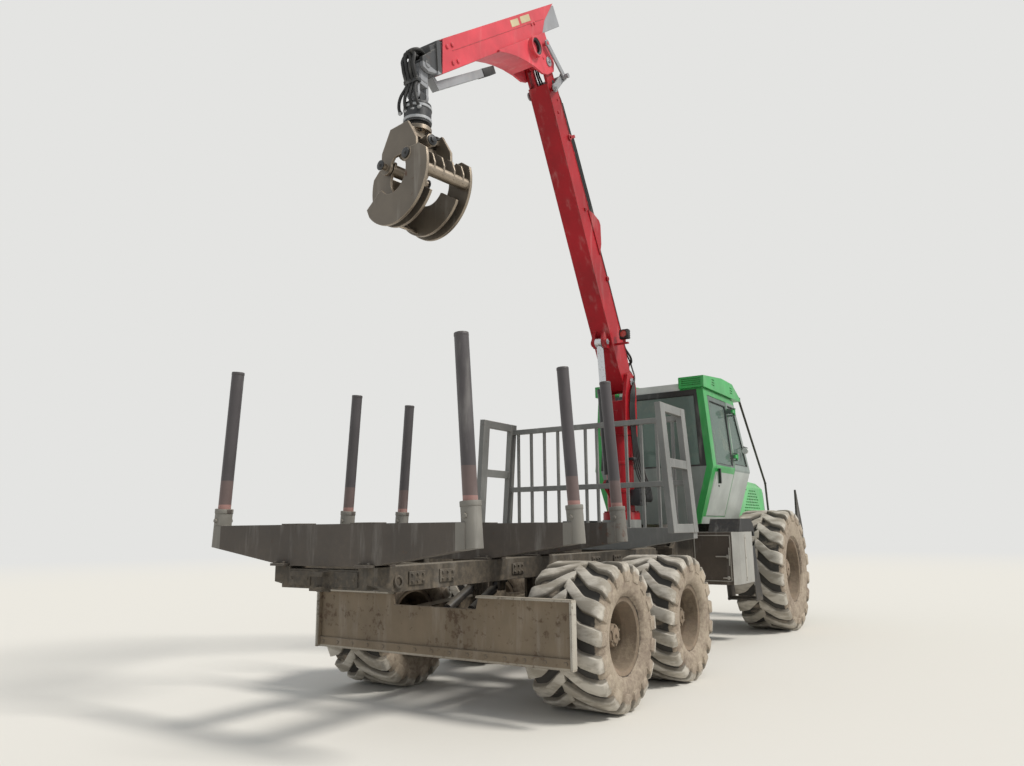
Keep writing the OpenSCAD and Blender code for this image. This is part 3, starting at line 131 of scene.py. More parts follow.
class Bench:
    # the node tree of a material or of the world, with a single way to add any node
    def __init__(self, owner):
        self.owner = owner
        owner.use_nodes = True
        self.tree = owner.node_tree
        self.tree.nodes.clear()

    def feed(self, socket, item):
        if isinstance(item, Value):
            item = item.socket
        if isinstance(item, bpy.types.NodeSocket):
            self.tree.links.new(item, socket)
        else:
            socket.default_value = item

    def node(self, kind, settings=None, inputs=None):
        made = self.tree.nodes.new("ShaderNode" + kind)
        for key, item in (settings or {}).items():
            setattr(made, key, item)
        for key, item in (inputs or {}).items():
            self.feed(made.inputs[key], item)
        return made

    def value(self, node, output=0):
        return Value(self, node.outputs[output])

    def place(self, scale=(1, 1, 1)):
        found = self.node("TexCoord").outputs["Object"]
        return self.node("Mapping", {}, {"Vector": found, "Scale": scale}).outputs[0]

    def noise(self, scale, detail=5, rough=0.55, where=None):
        made = self.node("TexNoise", {}, {"Vector": where or self.place(), "Scale": scale, "Detail": detail,
                                          "Roughness": rough})
        return self.value(made)

    def between(self, value, low, high):
        # smooth step of a value from low to high
        made = self.node("MapRange", {"interpolation_type": "SMOOTHSTEP"},
                         {"Value": value, "From Min": low, "From Max": high})
        return self.value(made, "Result")

    def dot(self, first, second):
        made = self.node("VectorMath", {"operation": "DOT_PRODUCT"}, {0: first, 1: second})
        return self.value(made, "Value")

    def blend(self, factor, first, second):
        made = self.node("Mix", {"data_type": "RGBA"})
        sockets = [s for s in made.inputs if s.enabled]
        for socket, item in zip(sockets, (factor, first, second)):
            self.feed(socket, item)
        return [s for s in made.outputs if s.enabled][0]

    def mix(self, factor, first, second):
        return self.node("MixShader", {}, {0: factor, 1: first.outputs[0], 2: second.outputs[0]})

    def seen(self):
        # 1 for rays that show the background to the eye, 0 for rays that only carry light
        path = self.node("LightPath")
        kinds = ("Camera", "Glossy", "Transmission")
        camera, glossy, through = (self.value(path, "Is %s Ray" % kind) for kind in kinds)
        return camera.high(glossy).high(through)

    def finish(self, shader, kind="OutputMaterial"):
        self.node(kind, {}, {"Surface": shader.outputs[0]})
        return self.owner


lightSetup = {
    "sunStrength": 2.7,
    "sunSpread": 14.0,
    "sunHeading": -78.0,
    "sunHeight": 50.0,
    "sunColour": (1.0, 0.965, 0.91),
    "skyStrength": 0.60,
    "skyColour": (0.92, 0.96, 1.0, 1),
    "floorSize": 160,
    "floorFade": (16.0, 42.0),
    "floorColour": "#d9d6cf",
    "backColour": "#e4e4e2",
}


def addFloor(s):
    bpy.ops.mesh.primitive_plane_add(size=s["floorSize"], location=(0, 0, 0))
    floor = bpy.context.active_object
    floor.name = "floorPlane"
    b = Bench(bpy.data.materials.new("paleFloor"))
    dull = b.node("BsdfDiffuse", {}, {"Color": tone(s["floorColour"])})
    glow = b.node("Emission", {}, {"Color": tone(s["backColour"]), "Strength": 1.0})
    away = b.value(b.node("VectorMath", {"operation": "LENGTH"}, {"Vector": b.place()}), "Value")
    fade = b.between(away, *s["floorFade"])
    floor.data.materials.append(b.finish(b.mix(fade * b.seen(), dull, glow)))


def addLight(s):
    world = bpy.data.worlds.new("softWorld")
    bpy.context.scene.world = world
    b = Bench(world)
    sky = b.node("Background", {}, {"Color": s["skyColour"], "Strength": s["skyStrength"]})
    back = b.node("Background", {}, {"Color": tone(s["backColour"]), "Strength": 1.0})
    b.finish(b.mix(b.seen(), sky, back), "OutputWorld")
    sun = bpy.data.lights.new("sun", "SUN")
    sun.energy = s["sunStrength"]
    sun.angle = math.radians(s["sunSpread"])
    sun.color = s["sunColour"]
    lamp = bpy.data.objects.new("sun", sun)
    bpy.context.scene.collection.objects.link(lamp)
    h, e = math.radians(s["sunHeading"]), math.radians(s["sunHeight"])
    toSun = Vector((math.cos(h) * math.cos(e), math.sin(h) * math.cos(e), math.sin(e)))
    lamp.rotation_euler = toSun.to_track_quat("Z", "Y").to_euler()
    bpy.context.scene.view_settings.view_transform = "Standard"


addCamera(cameraSetup)
addFloor(lightSetup)
addLight(lightSetup)
print("camera, floor and lights placed")

# paint: main colour; wear: bare edges; mud: how much below mudTop; dust: on faces that look up
# zones: other colours inside bounds, with x measured from the bogie centre and "side" as the distance
# from the middle plane, which "lean" (slope, height) lets widen upwards
commonPaint = {
    "rough": 0.42, "gloss": 0.5, "metal": 0.0, "wear": 0.0, "bare": "#8d8b87",
    "rust": 0.0, "rustAt": 0.60, "rustTone": "#6b4230",
    "mud": 0.0, "mudTop": 0.5, "dust": 0.2, "zones": (),
}
paints = {
    "frame_paint": {"paint": "#3b3731", "rough": 0.66, "wear": 0.25, "rust": 0.3, "mud": 0.8, "mudTop": 1.7,
                    "dust": 0.5},
    "bunk_paint": {"paint": "#4f4842", "rough": 0.66, "wear": 0.6, "rust": 0.65, "mud": 0.55, "mudTop": 1.6,
                   "dust": 0.7, "zones": [{"side": (1.165, 9), "z": (1.30, 9), "paint": "#7d7a73"}]},
    "stake_paint": {"paint": "#4b4749", "rough": 0.46, "wear": 0.5, "rust": 0.3, "mud": 0.1, "mudTop": 1.7,
                    "dust": 0.15, "zones": [{"z": (0, 1.86), "paint": "#6a5a57"},
                                            {"z": (1.632, 1.668), "paint": "#a27a73"}]},
    "gate_paint": {"paint": "#7f807d", "rough": 0.5, "wear": 0.9, "rust": 0.4, "mud": 0.4, "mudTop": 1.6,
                   "dust": 0.3, "bare": "#d2d1cc"},
    "axle_iron": {"paint": "#4d463c", "rough": 0.75, "wear": 0.1, "rust": 0.3, "mud": 1.0, "mudTop": 2.0,
                  "dust": 0.7},
    "base_paint": {"paint": "#858784", "rough": 0.55, "wear": 0.2, "rust": 0.3, "mud": 0.5, "mudTop": 1.6,
                   "dust": 0.6},
    "blade_paint": {"paint": "#857662", "rough": 0.72, "wear": 0.7, "rust": 0.75, "rustAt": 0.53,
                    "rustTone": "#544334", "mud": 0.6, "mudTop": 1.1, "dust": 0.6,
                    "zones": [{"side": (1.309, 9), "paint": "#bdb8ac"},
                              {"z": (0.908, 9), "paint": "#b2aa9c"},
                              {"z": (0, 0.438), "paint": "#b2aa9c"}]},
    "cylinder_paint": {"paint": "#232426", "rough": 0.4, "wear": 0.2, "rust": 0.1, "mud": 0.5, "mudTop": 1.3,
                       "dust": 0.35},
    "engine_iron": {"paint": "#5b5d5a", "rough": 0.6, "wear": 0.1, "rust": 0.3, "mud": 0.4, "mudTop": 1.5,
                    "dust": 0.6},
    # the dark brown on the boxes' rear face is painted shade; the front end is near black
    "box_paint": {"paint": "#a3a29c", "rough": 0.6, "wear": 0.5, "rust": 0.35, "mud": 0.5, "mudTop": 1.25,
                  "dust": 0.4, "zones": [{"x": (0, 2.704), "paint": "#4a4138"},
                                         {"x": (3.575, 9), "paint": "#232527"}]},
    # the rear wall is darkened as painted shade: near black round its pane and a dark grey below it; the
    # front is grey under the windscreen
    "cab_green": {"paint": "#2fa04c", "rough": 0.34, "wear": 0.12, "rust": 0.04, "mud": 0.25, "mudTop": 1.9,
                  "zones": [
                      {"x": (0, 3.386), "side": (0, 0.780), "lean": (0.081, 2.25), "z": (2.25, 9),
                       "paint": "#262b29"},
                      {"x": (0, 3.386), "side": (0, 0.780), "lean": (-0.289, 2.25), "z": (0, 2.25),
                       "paint": "#7c8680"},
                      {"x": (3.386, 9), "side": (0, 0.560), "paint": "#3a3f3d"},
                      {"x": (4.312, 9), "z": (0, 2.225), "paint": "#b4bab4"},
                      {"x": (4.312, 9), "z": (2.225, 3.23), "paint": "#7d8a83"},
                      {"x": (3.386, 4.312), "z": (0, 1.585), "paint": "#b4bab4"}]},
    "roof_green": {"paint": "#35a853", "rough": 0.34, "wear": 0.12, "rust": 0.04, "dust": 0.35,
                   "zones": [{"side": (0, 0.455), "paint": "#c3c9c3"}]},
    "hood_green": {"paint": "#62c474", "rough": 0.34, "wear": 0.12, "rust": 0.04, "mud": 0.3, "mudTop": 1.8,
                   "dust": 0.35},
    "door_grey": {"paint": "#b9bfb9", "rough": 0.4, "wear": 0.1, "rust": 0.04, "mud": 0.3, "mudTop": 2.0,
                  "zones": [{"z": (2.178, 2.268), "paint": "#35a853"},
                            {"z": (2.268, 9), "side": (0, 0.884), "paint": "#53615b"},
                            {"z": (2.0, 9), "side": (0.884, 9), "paint": "#35a853"},
                            {"x": (0, 3.560), "side": (0.872, 9), "z": (0, 2.3), "paint": "#222423"}]},
    "rim_paint": {"paint": "#94806c", "rough": 0.6, "wear": 0.4, "rust": 0.5, "mud": 1.0, "mudTop": 3.0},
    # crane_red is the crane's red darkened as painted shade, jib_red the same red lightened as a painted
    # highlight
    "crane_red": {"paint": "#ab1b26", "rough": 0.4, "gloss": 0.22, "wear": 0.3, "rust": 0.12, "dust": 0.12},
    "jib_red": {"paint": "#df4f5a", "rough": 0.4, "gloss": 0.22, "wear": 0.3, "rust": 0.12, "dust": 0.12},
    "link_grey": {"paint": "#9a9ca0", "wear": 0.5, "rust": 0.3,
                  "zones": [{"x": (-9, -1.570), "z": (5.62, 9), "paint": "#3f4144"}]},
    "flange_grey": {"paint": "#b7babd", "wear": 0.3, "rust": 0.3, "dust": 0.3},
    "latch_grey": {"paint": "#a9a59b", "wear": 0.5, "rust": 0.3, "mud": 0.4, "mudTop": 1.2, "dust": 0.3},
    "rotator_grey": {"paint": "#2c2f33", "wear": 0.4, "rust": 0.3},
    "grapple_steel": {"paint": "#70675b", "wear": 1.0, "rust": 0.7, "dust": 0.3, "metal": 0.30,
                      "bare": "#cabcaa", "rimAxis": (0.985, -0.174, 0.0)},
    "black_plastic": {"paint": "#1f2021", "rough": 0.62, "mud": 0.4, "mudTop": 1.6, "dust": 0.4},
    "lampRed": {"paint": "#b4463c", "rough": 0.2, "dust": 0.1},
    "mirrorWhite": {"paint": "#d9dcd8", "rough": 0.3},
    "plateYellow": {"paint": "#d8c9a0", "rough": 0.5, "wear": 0.3, "dust": 0.1},
}
dirtTones = {
    "shade": "#1c1a17", "streak": "#d9d6cf", "deepRust": "#3f2a20", "oldSteel": "#6d6358",
    "dryMud": "#7f7260", "wetMud": "#5c5143", "dust": "#a39a86", "oldDust": "#7c705d",
}
# scale, detail and roughness of the noises that the paint's dirt is made of
paintNoise = {"large": (1.7, 4, 0.6), "small": (21.0, 6, 0.65),
              "grain": (140.0, 3, 0.6), "streaks": (9.0, 5, 0.6)}


def zoneMask(b, apart, zone):
    mask = None
    for axis in ("x", "side", "z"):
        if axis not in zone:
            continue
        shift = bogieToFrame if axis == "x" else 0.0
        low, high = zone[axis]
        where = apart[axis]
        if axis == "side" and "lean" in zone:
            slope, level = zone["lean"]
            where = where + (apart["z"] - level) * slope
        inside = (where > low + shift) * (1.0 - (where > high + shift))
        mask = inside if mask is None else mask * inside
    return mask


def paintMaterial(name, given, d, n):
    s = {**commonPaint, **given}
    b = Bench(bpy.data.materials.new(name))
    spot = b.place()
    large, small, grain = (b.noise(*n[k], spot) for k in ("large", "small", "grain"))
    streaks = b.noise(*n["streaks"], b.place((1.0, 1.0, 0.16)))
    mixed = small * 0.3 + large * 0.4 + streaks * 0.3
    soft = b.node("Bevel", {"samples": 4}, {"Radius": 0.010}).outputs[0]
    same = b.dot(soft, b.node("NewGeometry").outputs["Normal"])
    edge = b.between((1.0 - same) * 7.0 + (small - 0.5) * 0.9, 0.22, 0.55)
    split = b.node("SeparateXYZ", {}, {0: spot})
    across = b.value(split, "Y").maths("ABSOLUTE")
    apart = {"x": b.value(split, "X"), "side": across, "z": b.value(split, "Z")}
    facing = b.node("TexCoord").outputs["Normal"]
    up = b.value(b.node("SeparateXYZ", {}, {0: facing}), "Z")
    # paint, a little faded and streaked
    colour = tone(s["paint"])
    for zone in s["zones"]:
        colour = b.blend(zoneMask(b, apart, zone), colour, tone(zone["paint"]))
    colour = b.blend(b.between(large, 0.3, 0.7) * 0.30, colour, tone(d["shade"]))
    colour = b.blend(b.between(streaks, 0.52, 0.78) * 0.16, colour, tone(d["streak"]))
    # rust in patches, and bare edges
    rustMask = (b.between(small * 0.55 + large * 0.45, s["rustAt"], s["rustAt"] + 0.08) * s["rust"]).held()
    colour = b.blend(rustMask, colour, b.blend(grain, tone(s["rustTone"]), tone(d["deepRust"])))
    wearMask = (edge * s["wear"]).held()
    if "rimAxis" in s:
        # the plates' rims and the belly sheets are scoured bright by the logs
        rim = b.dot(facing, s["rimAxis"]).maths("ABSOLUTE")
        scoured = small * 0.4 + large * 0.3 + streaks * 0.3
        scoured = b.between(rim, 0.60, 0.25) * b.between(scoured, 0.34, 0.52) * 0.90
        wearMask = wearMask.high(scoured).held()
    colour = b.blend(wearMask, colour, b.blend(grain, tone(s["bare"]), tone(d["oldSteel"])))
    # dust on faces that look up, and dried mud that thins out upwards
    dustMask = (b.between(up + (small - 0.5) * 0.7, 0.45, 0.95) * s["dust"]).held()
    colour = b.blend(dustMask * 0.75, colour, b.blend(small, tone(d["dust"]), tone(d["oldDust"])))
    level = apart["z"] + (large - 0.5) * 0.9 + (streaks - 0.5) * 0.5
    height = b.between(level, s["mudTop"], s["mudTop"] - 1.0)
    mudMask = (height * b.between(mixed, 0.34, 0.60) * s["mud"] * 0.9).held()
    mud = b.blend(b.between(small, 0.35, 0.65), tone(d["wetMud"]), tone(d["dryMud"]))
    colour = b.blend(mudMask, colour, mud)
    cover = mudMask.high(dustMask * 0.8).high(rustMask)
    rough = (cover * (0.93 - s["rough"]) + s["rough"] + (small - 0.5) * 0.14).held()
    metal = (wearMask * (1.0 - cover) * 0.8 + s["metal"]).held()
    crust = mudMask * (small * 1.2 + grain * 0.5) + rustMask * grain * 0.3 + grain * 0.04
    bump = b.node("Bump", {}, {"Strength": 0.45, "Distance": 0.006, "Height": crust, "Normal": soft})
    return b.finish(b.node("BsdfPrincipled", {}, {
        "Base Color": colour, "Roughness": rough, "Metallic": metal, "Specular IOR Level": s["gloss"],
        "Normal": bump.outputs[0]}))


def chromeMaterial(name):
    b = Bench(bpy.data.materials.new(name))
    small = b.noise(60.0, 4, 0.6)
    return b.finish(b.node("BsdfPrincipled", {}, {
        "Base Color": b.blend(b.between(small, 0.5, 0.8), tone("#c9cbce"), tone("#8d8a84")),
        "Metallic": 1.0, "Roughness": (small * 0.22 + 0.08).held()}))


def glassMaterial(name):
    # tinted pane that lets the cab's inside show, with dusty patches
    b = Bench(bpy.data.materials.new(name))
    dirt = b.noise(3.0, 6, 0.65)
    clear = b.node("BsdfTransparent", {}, {"Color": tone("#b4c8bd")})
    gloss = b.node("BsdfPrincipled", {}, {"Base Color": tone("#8b9d96"), "Roughness": 0.05,
                                          "Specular IOR Level": 0.6})
    dull = b.node("BsdfDiffuse", {}, {"Color": tone("#a59f90")})
    return b.finish(b.mix(b.between(dirt, 0.5, 0.85) * 0.35, b.mix(0.44, clear, gloss), dull))


# the grooves' colour is painted shade; the lugs' two top colours are worn rubber lightened by a painted
# highlight
tyreTones = {
    "shadedGroove": "#454340", "rubber": "#7c766c", "worn": "#9c9589", "top": "#c2bcb1", "mudDeep": "#85776a",
    "mudDry": "#ada08e",
}


def tyreMaterial(name, s):
    # "lift" is 1 on the lugs' tops and 0 in the grooves, "flank" is 1 on the sidewalls
    b = Bench(bpy.data.materials.new(name))
    spot = b.place()
    large = b.noise(2.4, 5, 0.6, spot)
    small = b.noise(24.0, 6, 0.7, spot)
    grain = b.noise(170.0, 3, 0.6, spot)
    scuffs = b.noise(9.0, 5, 0.65, b.place((1.0, 0.35, 1.0)))
    lift, flank = (b.value(b.node("Attribute", {"attribute_name": k}), "Fac") for k in ("lift", "flank"))
    # painted shade darkens the grooves, and the lugs' tops get worn rubber with a painted highlight
    foot = b.between(lift + (small - 0.5) * 0.2, 0.06, 0.34)
    crown = b.between(lift + (small - 0.5) * 0.3, 0.62, 0.92)
    colour = b.blend(foot, tone(s["shadedGroove"]), tone(s["rubber"]))
    colour = b.blend(crown, colour, b.blend(b.between(scuffs, 0.40, 0.62), tone(s["worn"]), tone(s["top"])))
    # dried mud lies on the sidewalls and partly in the grooves
    mudMask = b.between(flank * 1.15 + (large - 0.5) * 0.9 + (small - 0.5) * 0.5 - 0.30, 0.12, 0.34)
    grooveMud = b.between(large * 0.5 + scuffs * 0.5, 0.52, 0.64) * (1.0 - lift).held() * 0.75
    mud = b.blend(b.between(small * 0.5 + large * 0.5, 0.36, 0.62), tone(s["mudDeep"]), tone(s["mudDry"]))
    colour = b.blend(grooveMud.high(mudMask * 0.93).held(), colour, mud)
    bump = b.node("Bump", {}, {"Strength": 0.55, "Distance": 0.010,
                               "Height": mudMask * small * 1.4 + small * 0.25 + grain * 0.15})
    return b.finish(b.node("BsdfPrincipled", {}, {
        "Base Color": colour, "Roughness": (small * 0.12 + 0.82).held(), "Specular IOR Level": 0.2,
        "Normal": bump.outputs[0]}))


def lensMaterial(name):
    b = Bench(bpy.data.materials.new(name))
    ribs = b.node("TexWave", {"wave_type": "BANDS", "bands_direction": "Y"},
                  {"Vector": b.place(), "Scale": 34.0, "Distortion": 0.0})
    bump = b.node("Bump", {}, {"Strength": 0.5, "Distance": 0.004, "Height": b.value(ribs, "Fac")})
    return b.finish(b.node("BsdfPrincipled", {}, {
        "Base Color": b.blend(b.noise(30.0, 4, 0.6), tone("#e3e6e6"), tone("#b6bcbd")), "Roughness": 0.08,
        "Metallic": 0.55, "Coat Weight": 1.0, "Normal": bump.outputs[0]}))


def fabricMaterial(name):
    # woven seat cover with a little lint and dust
    b = Bench(bpy.data.materials.new(name))
    warp, weft = (b.value(b.node("TexWave", {"wave_type": "BANDS", "bands_direction": run},
                                 {"Vector": b.place(), "Scale": scale, "Distortion": 0.4}), "Fac")
                  for run, scale in (("Y", 190.0), ("DIAGONAL", 170.0)))
    weave = warp * 0.5 + weft * 0.5
    lint = b.between(b.noise(8.0, 6, 0.7), 0.45, 0.75)
    colour = b.blend(weave, tone("#17181b"), tone("#34373c"))
    colour = b.blend(lint * 0.4, colour, tone("#6d675e"))
    bump = b.node("Bump", {}, {"Strength": 0.6, "Distance": 0.0015, "Height": weave})
    return b.finish(b.node("BsdfPrincipled", {}, {
        "Base Color": colour, "Roughness": 0.9, "Sheen Weight": 0.35, "Normal": bump.outputs[0]}))


made = {name: paintMaterial(name, s, dirtTones, paintNoise) for name, s in paints.items()}
made["rod_chrome"] = chromeMaterial("rod_chrome")
made["window_glass"] = glassMaterial("window_glass")
made["seat_fabric"] = fabricMaterial("seat_fabric")
made["lampGlass"] = lensMaterial("lampGlass")
made["tyre_rubber"] = tyreMaterial("tyre_rubber", tyreTones)
for part in record["subparts"]:
    mesh = nodes[part["node"]].data
    mesh.materials.clear()
    mesh.materials.append(made[part["material_slot"]])
print("materials made:", len(made))

# frames that the pieces' measures are in
placeSetup = {
    "boomPin": (2.370, 0, 3.300), "boomRise": 60.6,
    "elbowPin": (0.3916, 0, 6.811), "jibRise": -38.7,
    "grapple": (-1.765, 0, 5.0), "grappleTurn": -100.0,
}


def armPlace(pin, rise):
    # X runs along the arm from its pin, Z points up from it
    tilt = Matrix.Rotation(math.radians(rise), 4, "Y")
    return Matrix.Translation(at(*pin)) @ tilt @ Matrix.Rotation(math.pi, 4, "Z")


machinePlace = Matrix.Translation((bogieToFrame, 0, 0))
boomPlace = armPlace(placeSetup["boomPin"], placeSetup["boomRise"])
jibPlace = armPlace(placeSetup["elbowPin"], placeSetup["jibRise"])
grapplePlace = (Matrix.Translation(at(*placeSetup["grapple"]))
                @ Matrix.Rotation(math.radians(placeSetup["grappleTurn"]), 4, "Z"))
bothSides = ((1, "left"), (-1, "right"))


def inMachine(place, *spot):
    # a point of another frame in the machine's own measures
    return machinePlace.inverted() @ place @ Vector(spot)


def around(count, radius, shift=0.5):
    # points on a circle; shift is the first one's share of a step
    turns = [math.tau * (k + shift) / count for k in range(count)]
    return [(radius * math.cos(a), radius * math.sin(a)) for a in turns]


class Shape:
    # gathers the shapes of one piece in a bmesh; place is the frame that their measures are in
    def __init__(self, name, place=machinePlace, side=1):
        self.name = name
        self.place = place
        self.side = side
        self.bm = bmesh.new()

    def both(self):
        # what the loop draws comes on the left and, mirrored, on the right
        for side in (1, -1):
            self.side = side
            yield side
        self.side = 1

    def flip(self, point):
        x, y, z = point
        return Vector((x, y * self.side, z))

    def fit(self, centre, axis):
        # a frame at a point with its Z along an axis
        turn = self.flip(axis).to_track_quat("Z", "Y").to_matrix().to_4x4()
        return self.place @ Matrix.Translation(self.flip(centre)) @ turn

    def bevel(self, edges, width, segments=2):
        bmesh.ops.bevel(self.bm, geom=list(edges), offset=width, offset_type="OFFSET", affect="EDGES",
                        segments=segments, profile=0.5, material=-1, clamp_overlap=True)

    def block(self, low, high, soft=0.003, turn=Matrix(), shift=(0, 0, 0)):
        size = Vector(high) - Vector(low)
        middle = self.flip((Vector(high) + Vector(low)) / 2 + Vector(shift))
        cube = self.place @ Matrix.Translation(middle) @ turn @ Matrix.Diagonal((*size, 1))
        verts = bmesh.ops.create_cube(self.bm, size=1, matrix=cube)["verts"]
        if soft:
            self.bevel({e for v in verts for e in v.link_edges}, soft)

    def rod(self, start, end, radius, tip=None, sides=20, soft=0.0):
        start, end = Vector(start), Vector(end)
        verts = bmesh.ops.create_cone(self.bm, cap_ends=True, cap_tris=False, segments=sides, radius1=radius,
                                      radius2=radius if tip is None else tip, depth=(end - start).length,
                                      matrix=self.fit((start + end) / 2, end - start))["verts"]
        if soft:
            self.bevel({e for v in verts for e in v.link_edges if len(e.link_faces) == 2
                        and any(len(f.verts) > 4 for f in e.link_faces)}, soft)

    def bolt(self, centre, axis, width, height):
        centre, axis = Vector(centre), Vector(axis).normalized()
        self.rod(centre, centre + axis * height, width / 2, sides=6, soft=width * 0.06)

    def cap(self, centre, axis, depth, radius, head, sides=32):
        # a pin's round end plate with a bolt of head (width, height) in its middle
        centre, axis = Vector(centre), Vector(axis)
        self.rod(centre, centre + axis * depth, radius, sides=sides, soft=0.003)
        self.bolt(centre + axis * depth, axis, *head)

    def plate(self, outline, low, high, soft=0.003):
        # outline in X and Z, thickness along Y from low to high
        verts = [self.bm.verts.new(self.place @ self.flip((x, low, z))) for x, z in outline]
        grown = bmesh.ops.extrude_face_region(self.bm, geom=[self.bm.faces.new(verts)])["geom"]
        moved = [g for g in grown if isinstance(g, bmesh.types.BMVert)]
        bmesh.ops.translate(self.bm, vec=self.place.to_3x3() @ self.flip((0, high - low, 0)), verts=moved)
        self.bevel({e for v in verts + moved for e in v.link_edges}, soft, 1)

    def ring(self, outline, centre, axis, steps=28):
        # outline as (radius, height) pairs, closed, turned about the axis
        turn = self.fit(centre, axis)
        verts = [self.bm.verts.new(turn @ Vector((r, 0, h))) for r, h in outline]
        edges = [self.bm.edges.new(pair) for pair in zip(verts, verts[1:] + verts[:1])]
        bmesh.ops.spin(self.bm, geom=verts + edges, cent=turn.translation,
                       axis=turn.to_3x3() @ Vector((0, 0, 1)), dvec=(0, 0, 0), angle=math.tau, steps=steps,
                       use_merge=True, use_duplicate=False)

    def band(self, inner, outer, low, high, centre, axis, steps=28):
        self.ring([(inner, low), (outer, low), (outer, high), (inner, high)], centre, axis, steps)

    def ball(self, centre, radius, squash=(1, 1, 1)):
        fit = self.place @ Matrix.Translation(self.flip(centre)) @ Matrix.Diagonal((*squash, 1))
        bmesh.ops.create_uvsphere(self.bm, u_segments=20, v_segments=12, radius=radius, matrix=fit)

    def finish(self, body, finish, sharp=34, stands=()):
        bmesh.ops.remove_doubles(self.bm, verts=self.bm.verts, dist=0.00002)
        bmesh.ops.recalc_face_normals(self.bm, faces=self.bm.faces)
        for edge in self.bm.edges:
            if len(edge.link_faces) == 2 and edge.calc_face_angle(0) > math.radians(sharp):
                edge.smooth = False
        mesh = bpy.data.meshes.new(self.name)
        self.bm.to_mesh(mesh)
        self.bm.free()
        return settle(mesh, self.name, body, finish, stands)


def settle(mesh, name, body, finish, stands=()):
    # body is a body's name, or for a piece across a joint two names and two points, which are not used
    mesh.name = name
    mesh.shade_smooth()
    mesh.materials.clear()
    mesh.materials.append(made[finish])
    piece = bpy.data.objects.new(name, mesh)
    bpy.context.scene.collection.objects.link(piece)
    if isinstance(body, str):
        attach(piece, body)
    else:
        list(body)
        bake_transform(piece)
    if stands:
        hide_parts(*stands)
    return piece


def hoses(name, body, finish, routes, place=machinePlace):
    # routes: (radius, points); each becomes a smooth closed tube
    data = bpy.data.curves.new(name, "CURVE")
    data.dimensions = "3D"
    data.bevel_mode = "ROUND"
    data.bevel_depth = 1.0
    data.bevel_resolution = 3
    data.use_fill_caps = True
    data.resolution_u = 7
    for radius, points in routes:
        line = data.splines.new("BEZIER")
        line.bezier_points.add(len(points) - 1)
        for knot, spot in zip(line.bezier_points, points):
            knot.co = place @ Vector(spot)
            knot.handle_left_type = "AUTO"
            knot.handle_right_type = "AUTO"
            knot.radius = radius
    holder = bpy.data.objects.new(name, data)
    bpy.context.scene.collection.objects.link(holder)
    bpy.context.view_layer.update()
    mesh = bpy.data.meshes.new_from_object(holder)
    bpy.data.objects.remove(holder)
    return settle(mesh, name, body, finish)


def along(table, t):
    # value between the rows of a table of (place, value)
    for (t0, v0), (t1, v1) in zip(table, table[1:]):
        if t <= t1:
            return v0 + (v1 - v0) * (t - t0) / (t1 - t0)
    return table[-1][1]


# end: distance from the bogie centre, axle's height, kind of tyre and rim
wheels = {"front": (5.040, 0.840, "front"), "mid": (0.750, 0.590, "rear"), "rear": (-0.750, 0.590, "rear")}
track = 1.100
tyreSetup = {
    "width": 0.700,
    "front": {"radius": 0.840, "bead": 0.432, "lugs": 18},
    "rear": {"radius": 0.590, "bead": 0.286, "lugs": 17},
    # the carcass: (metres, share of the wall's height) over the bead, and share of half the width
    "wall": ((0, 0, 0.700), (0.010, 0, 0.800), (0.030, 0, 0.850), (0.040, 0, 0.905), (0, 0.30, 0.955),
             (0, 0.52, 0.968), (0, 0.76, 0.945), (0, 0.91, 0.885), (0, 0.975, 0.810), (0, 1, 0.720)),
    "lining": ((0.030, 0, 0.62), (-0.060, 1, 0.62)),
    "crown": 0.003,
    "steps": 120,
    "muddy": (0.78, 0.12),
    # a lug's way over the tread and down the shoulder, from 0 near the middle to 1 at its outer end
    "lugHeight": 0.042, "lugRoot": 0.020, "lugShare": 0.270, "lugCuts": 13, "lugSoft": 0.07,
    "rise": [(0.0, 0.0), (0.62, 0.0), (0.78, 0.014), (0.88, 0.060), (1.0, 0.150)],
    "reach": [(0.0, -0.022), (0.62, 0.280), (0.78, 0.325), (0.88, 0.349), (1.0, 0.349)],
    "sweep": [(-0.022, 0.125), (0.175, -0.0525), (0.364, -0.125)],
    "knee": (0.012, 0.12),
    "tuck": (0.62, 0.045),
    "flankFrom": 0.80,
}


def lugMesh(s, k):
    # one lug: a bar bent back towards the shoulder and down over it
    bm = bmesh.new()
    bmesh.ops.create_cube(bm, size=1)
    upper = [e for e in bm.edges if e.verts[0].co.z > 0 and e.verts[1].co.z > 0]
    bmesh.ops.bevel(bm, geom=upper, offset=s["lugSoft"], offset_type="OFFSET", affect="EDGES", segments=2,
                    profile=0.5, material=-1, clamp_overlap=True)
    long = [e for e in bm.edges if abs(e.verts[0].co.x - e.verts[1].co.x) > 0.5]
    bmesh.ops.subdivide_edges(bm, edges=long, cuts=s["lugCuts"], use_grid_fill=True)
    lift = bm.verts.layers.float.new("lift")
    flank = bm.verts.layers.float.new("flank")
    wide = k["radius"] * math.tau / k["lugs"] * s["lugShare"]
    bend = s["sweep"][1][0]
    dent, near = s["knee"]
    tuckFrom, tuck = s["tuck"]
    for v in bm.verts:
        t, rise = v.co.x + 0.5, v.co.z + 0.5
        y = along(s["reach"], t)
        # rounded knee between the two straight parts of the lug
        back = along(s["sweep"], y) - dent * max(0.0, 1.0 - abs(y - bend) / near)
        depth = (1 - rise) * (s["lugHeight"] + s["lugRoot"]) * (1.0 if t < s["flankFrom"] else 0.5)
        r = k["radius"] - along(s["rise"], t) - depth
        inward = (1 - rise) * tuck * max(0.0, (t - tuckFrom) / (1 - tuckFrom))
        x = back + v.co.y * 2 * wide * (1.22 - 0.30 * rise) * (0.94 + 0.16 * t)
        v[lift] = rise
        v[flank] = max(0.0, (t - s["flankFrom"]) / (1 - s["flankFrom"]))
        angle = math.asin(max(-0.9, min(0.9, x / k["radius"])))
        v.co = Vector((r * math.sin(angle), y - inward, r * math.cos(angle)))
    mesh = bpy.data.meshes.new("lug")
    bm.to_mesh(mesh)
    bm.free()
    return mesh


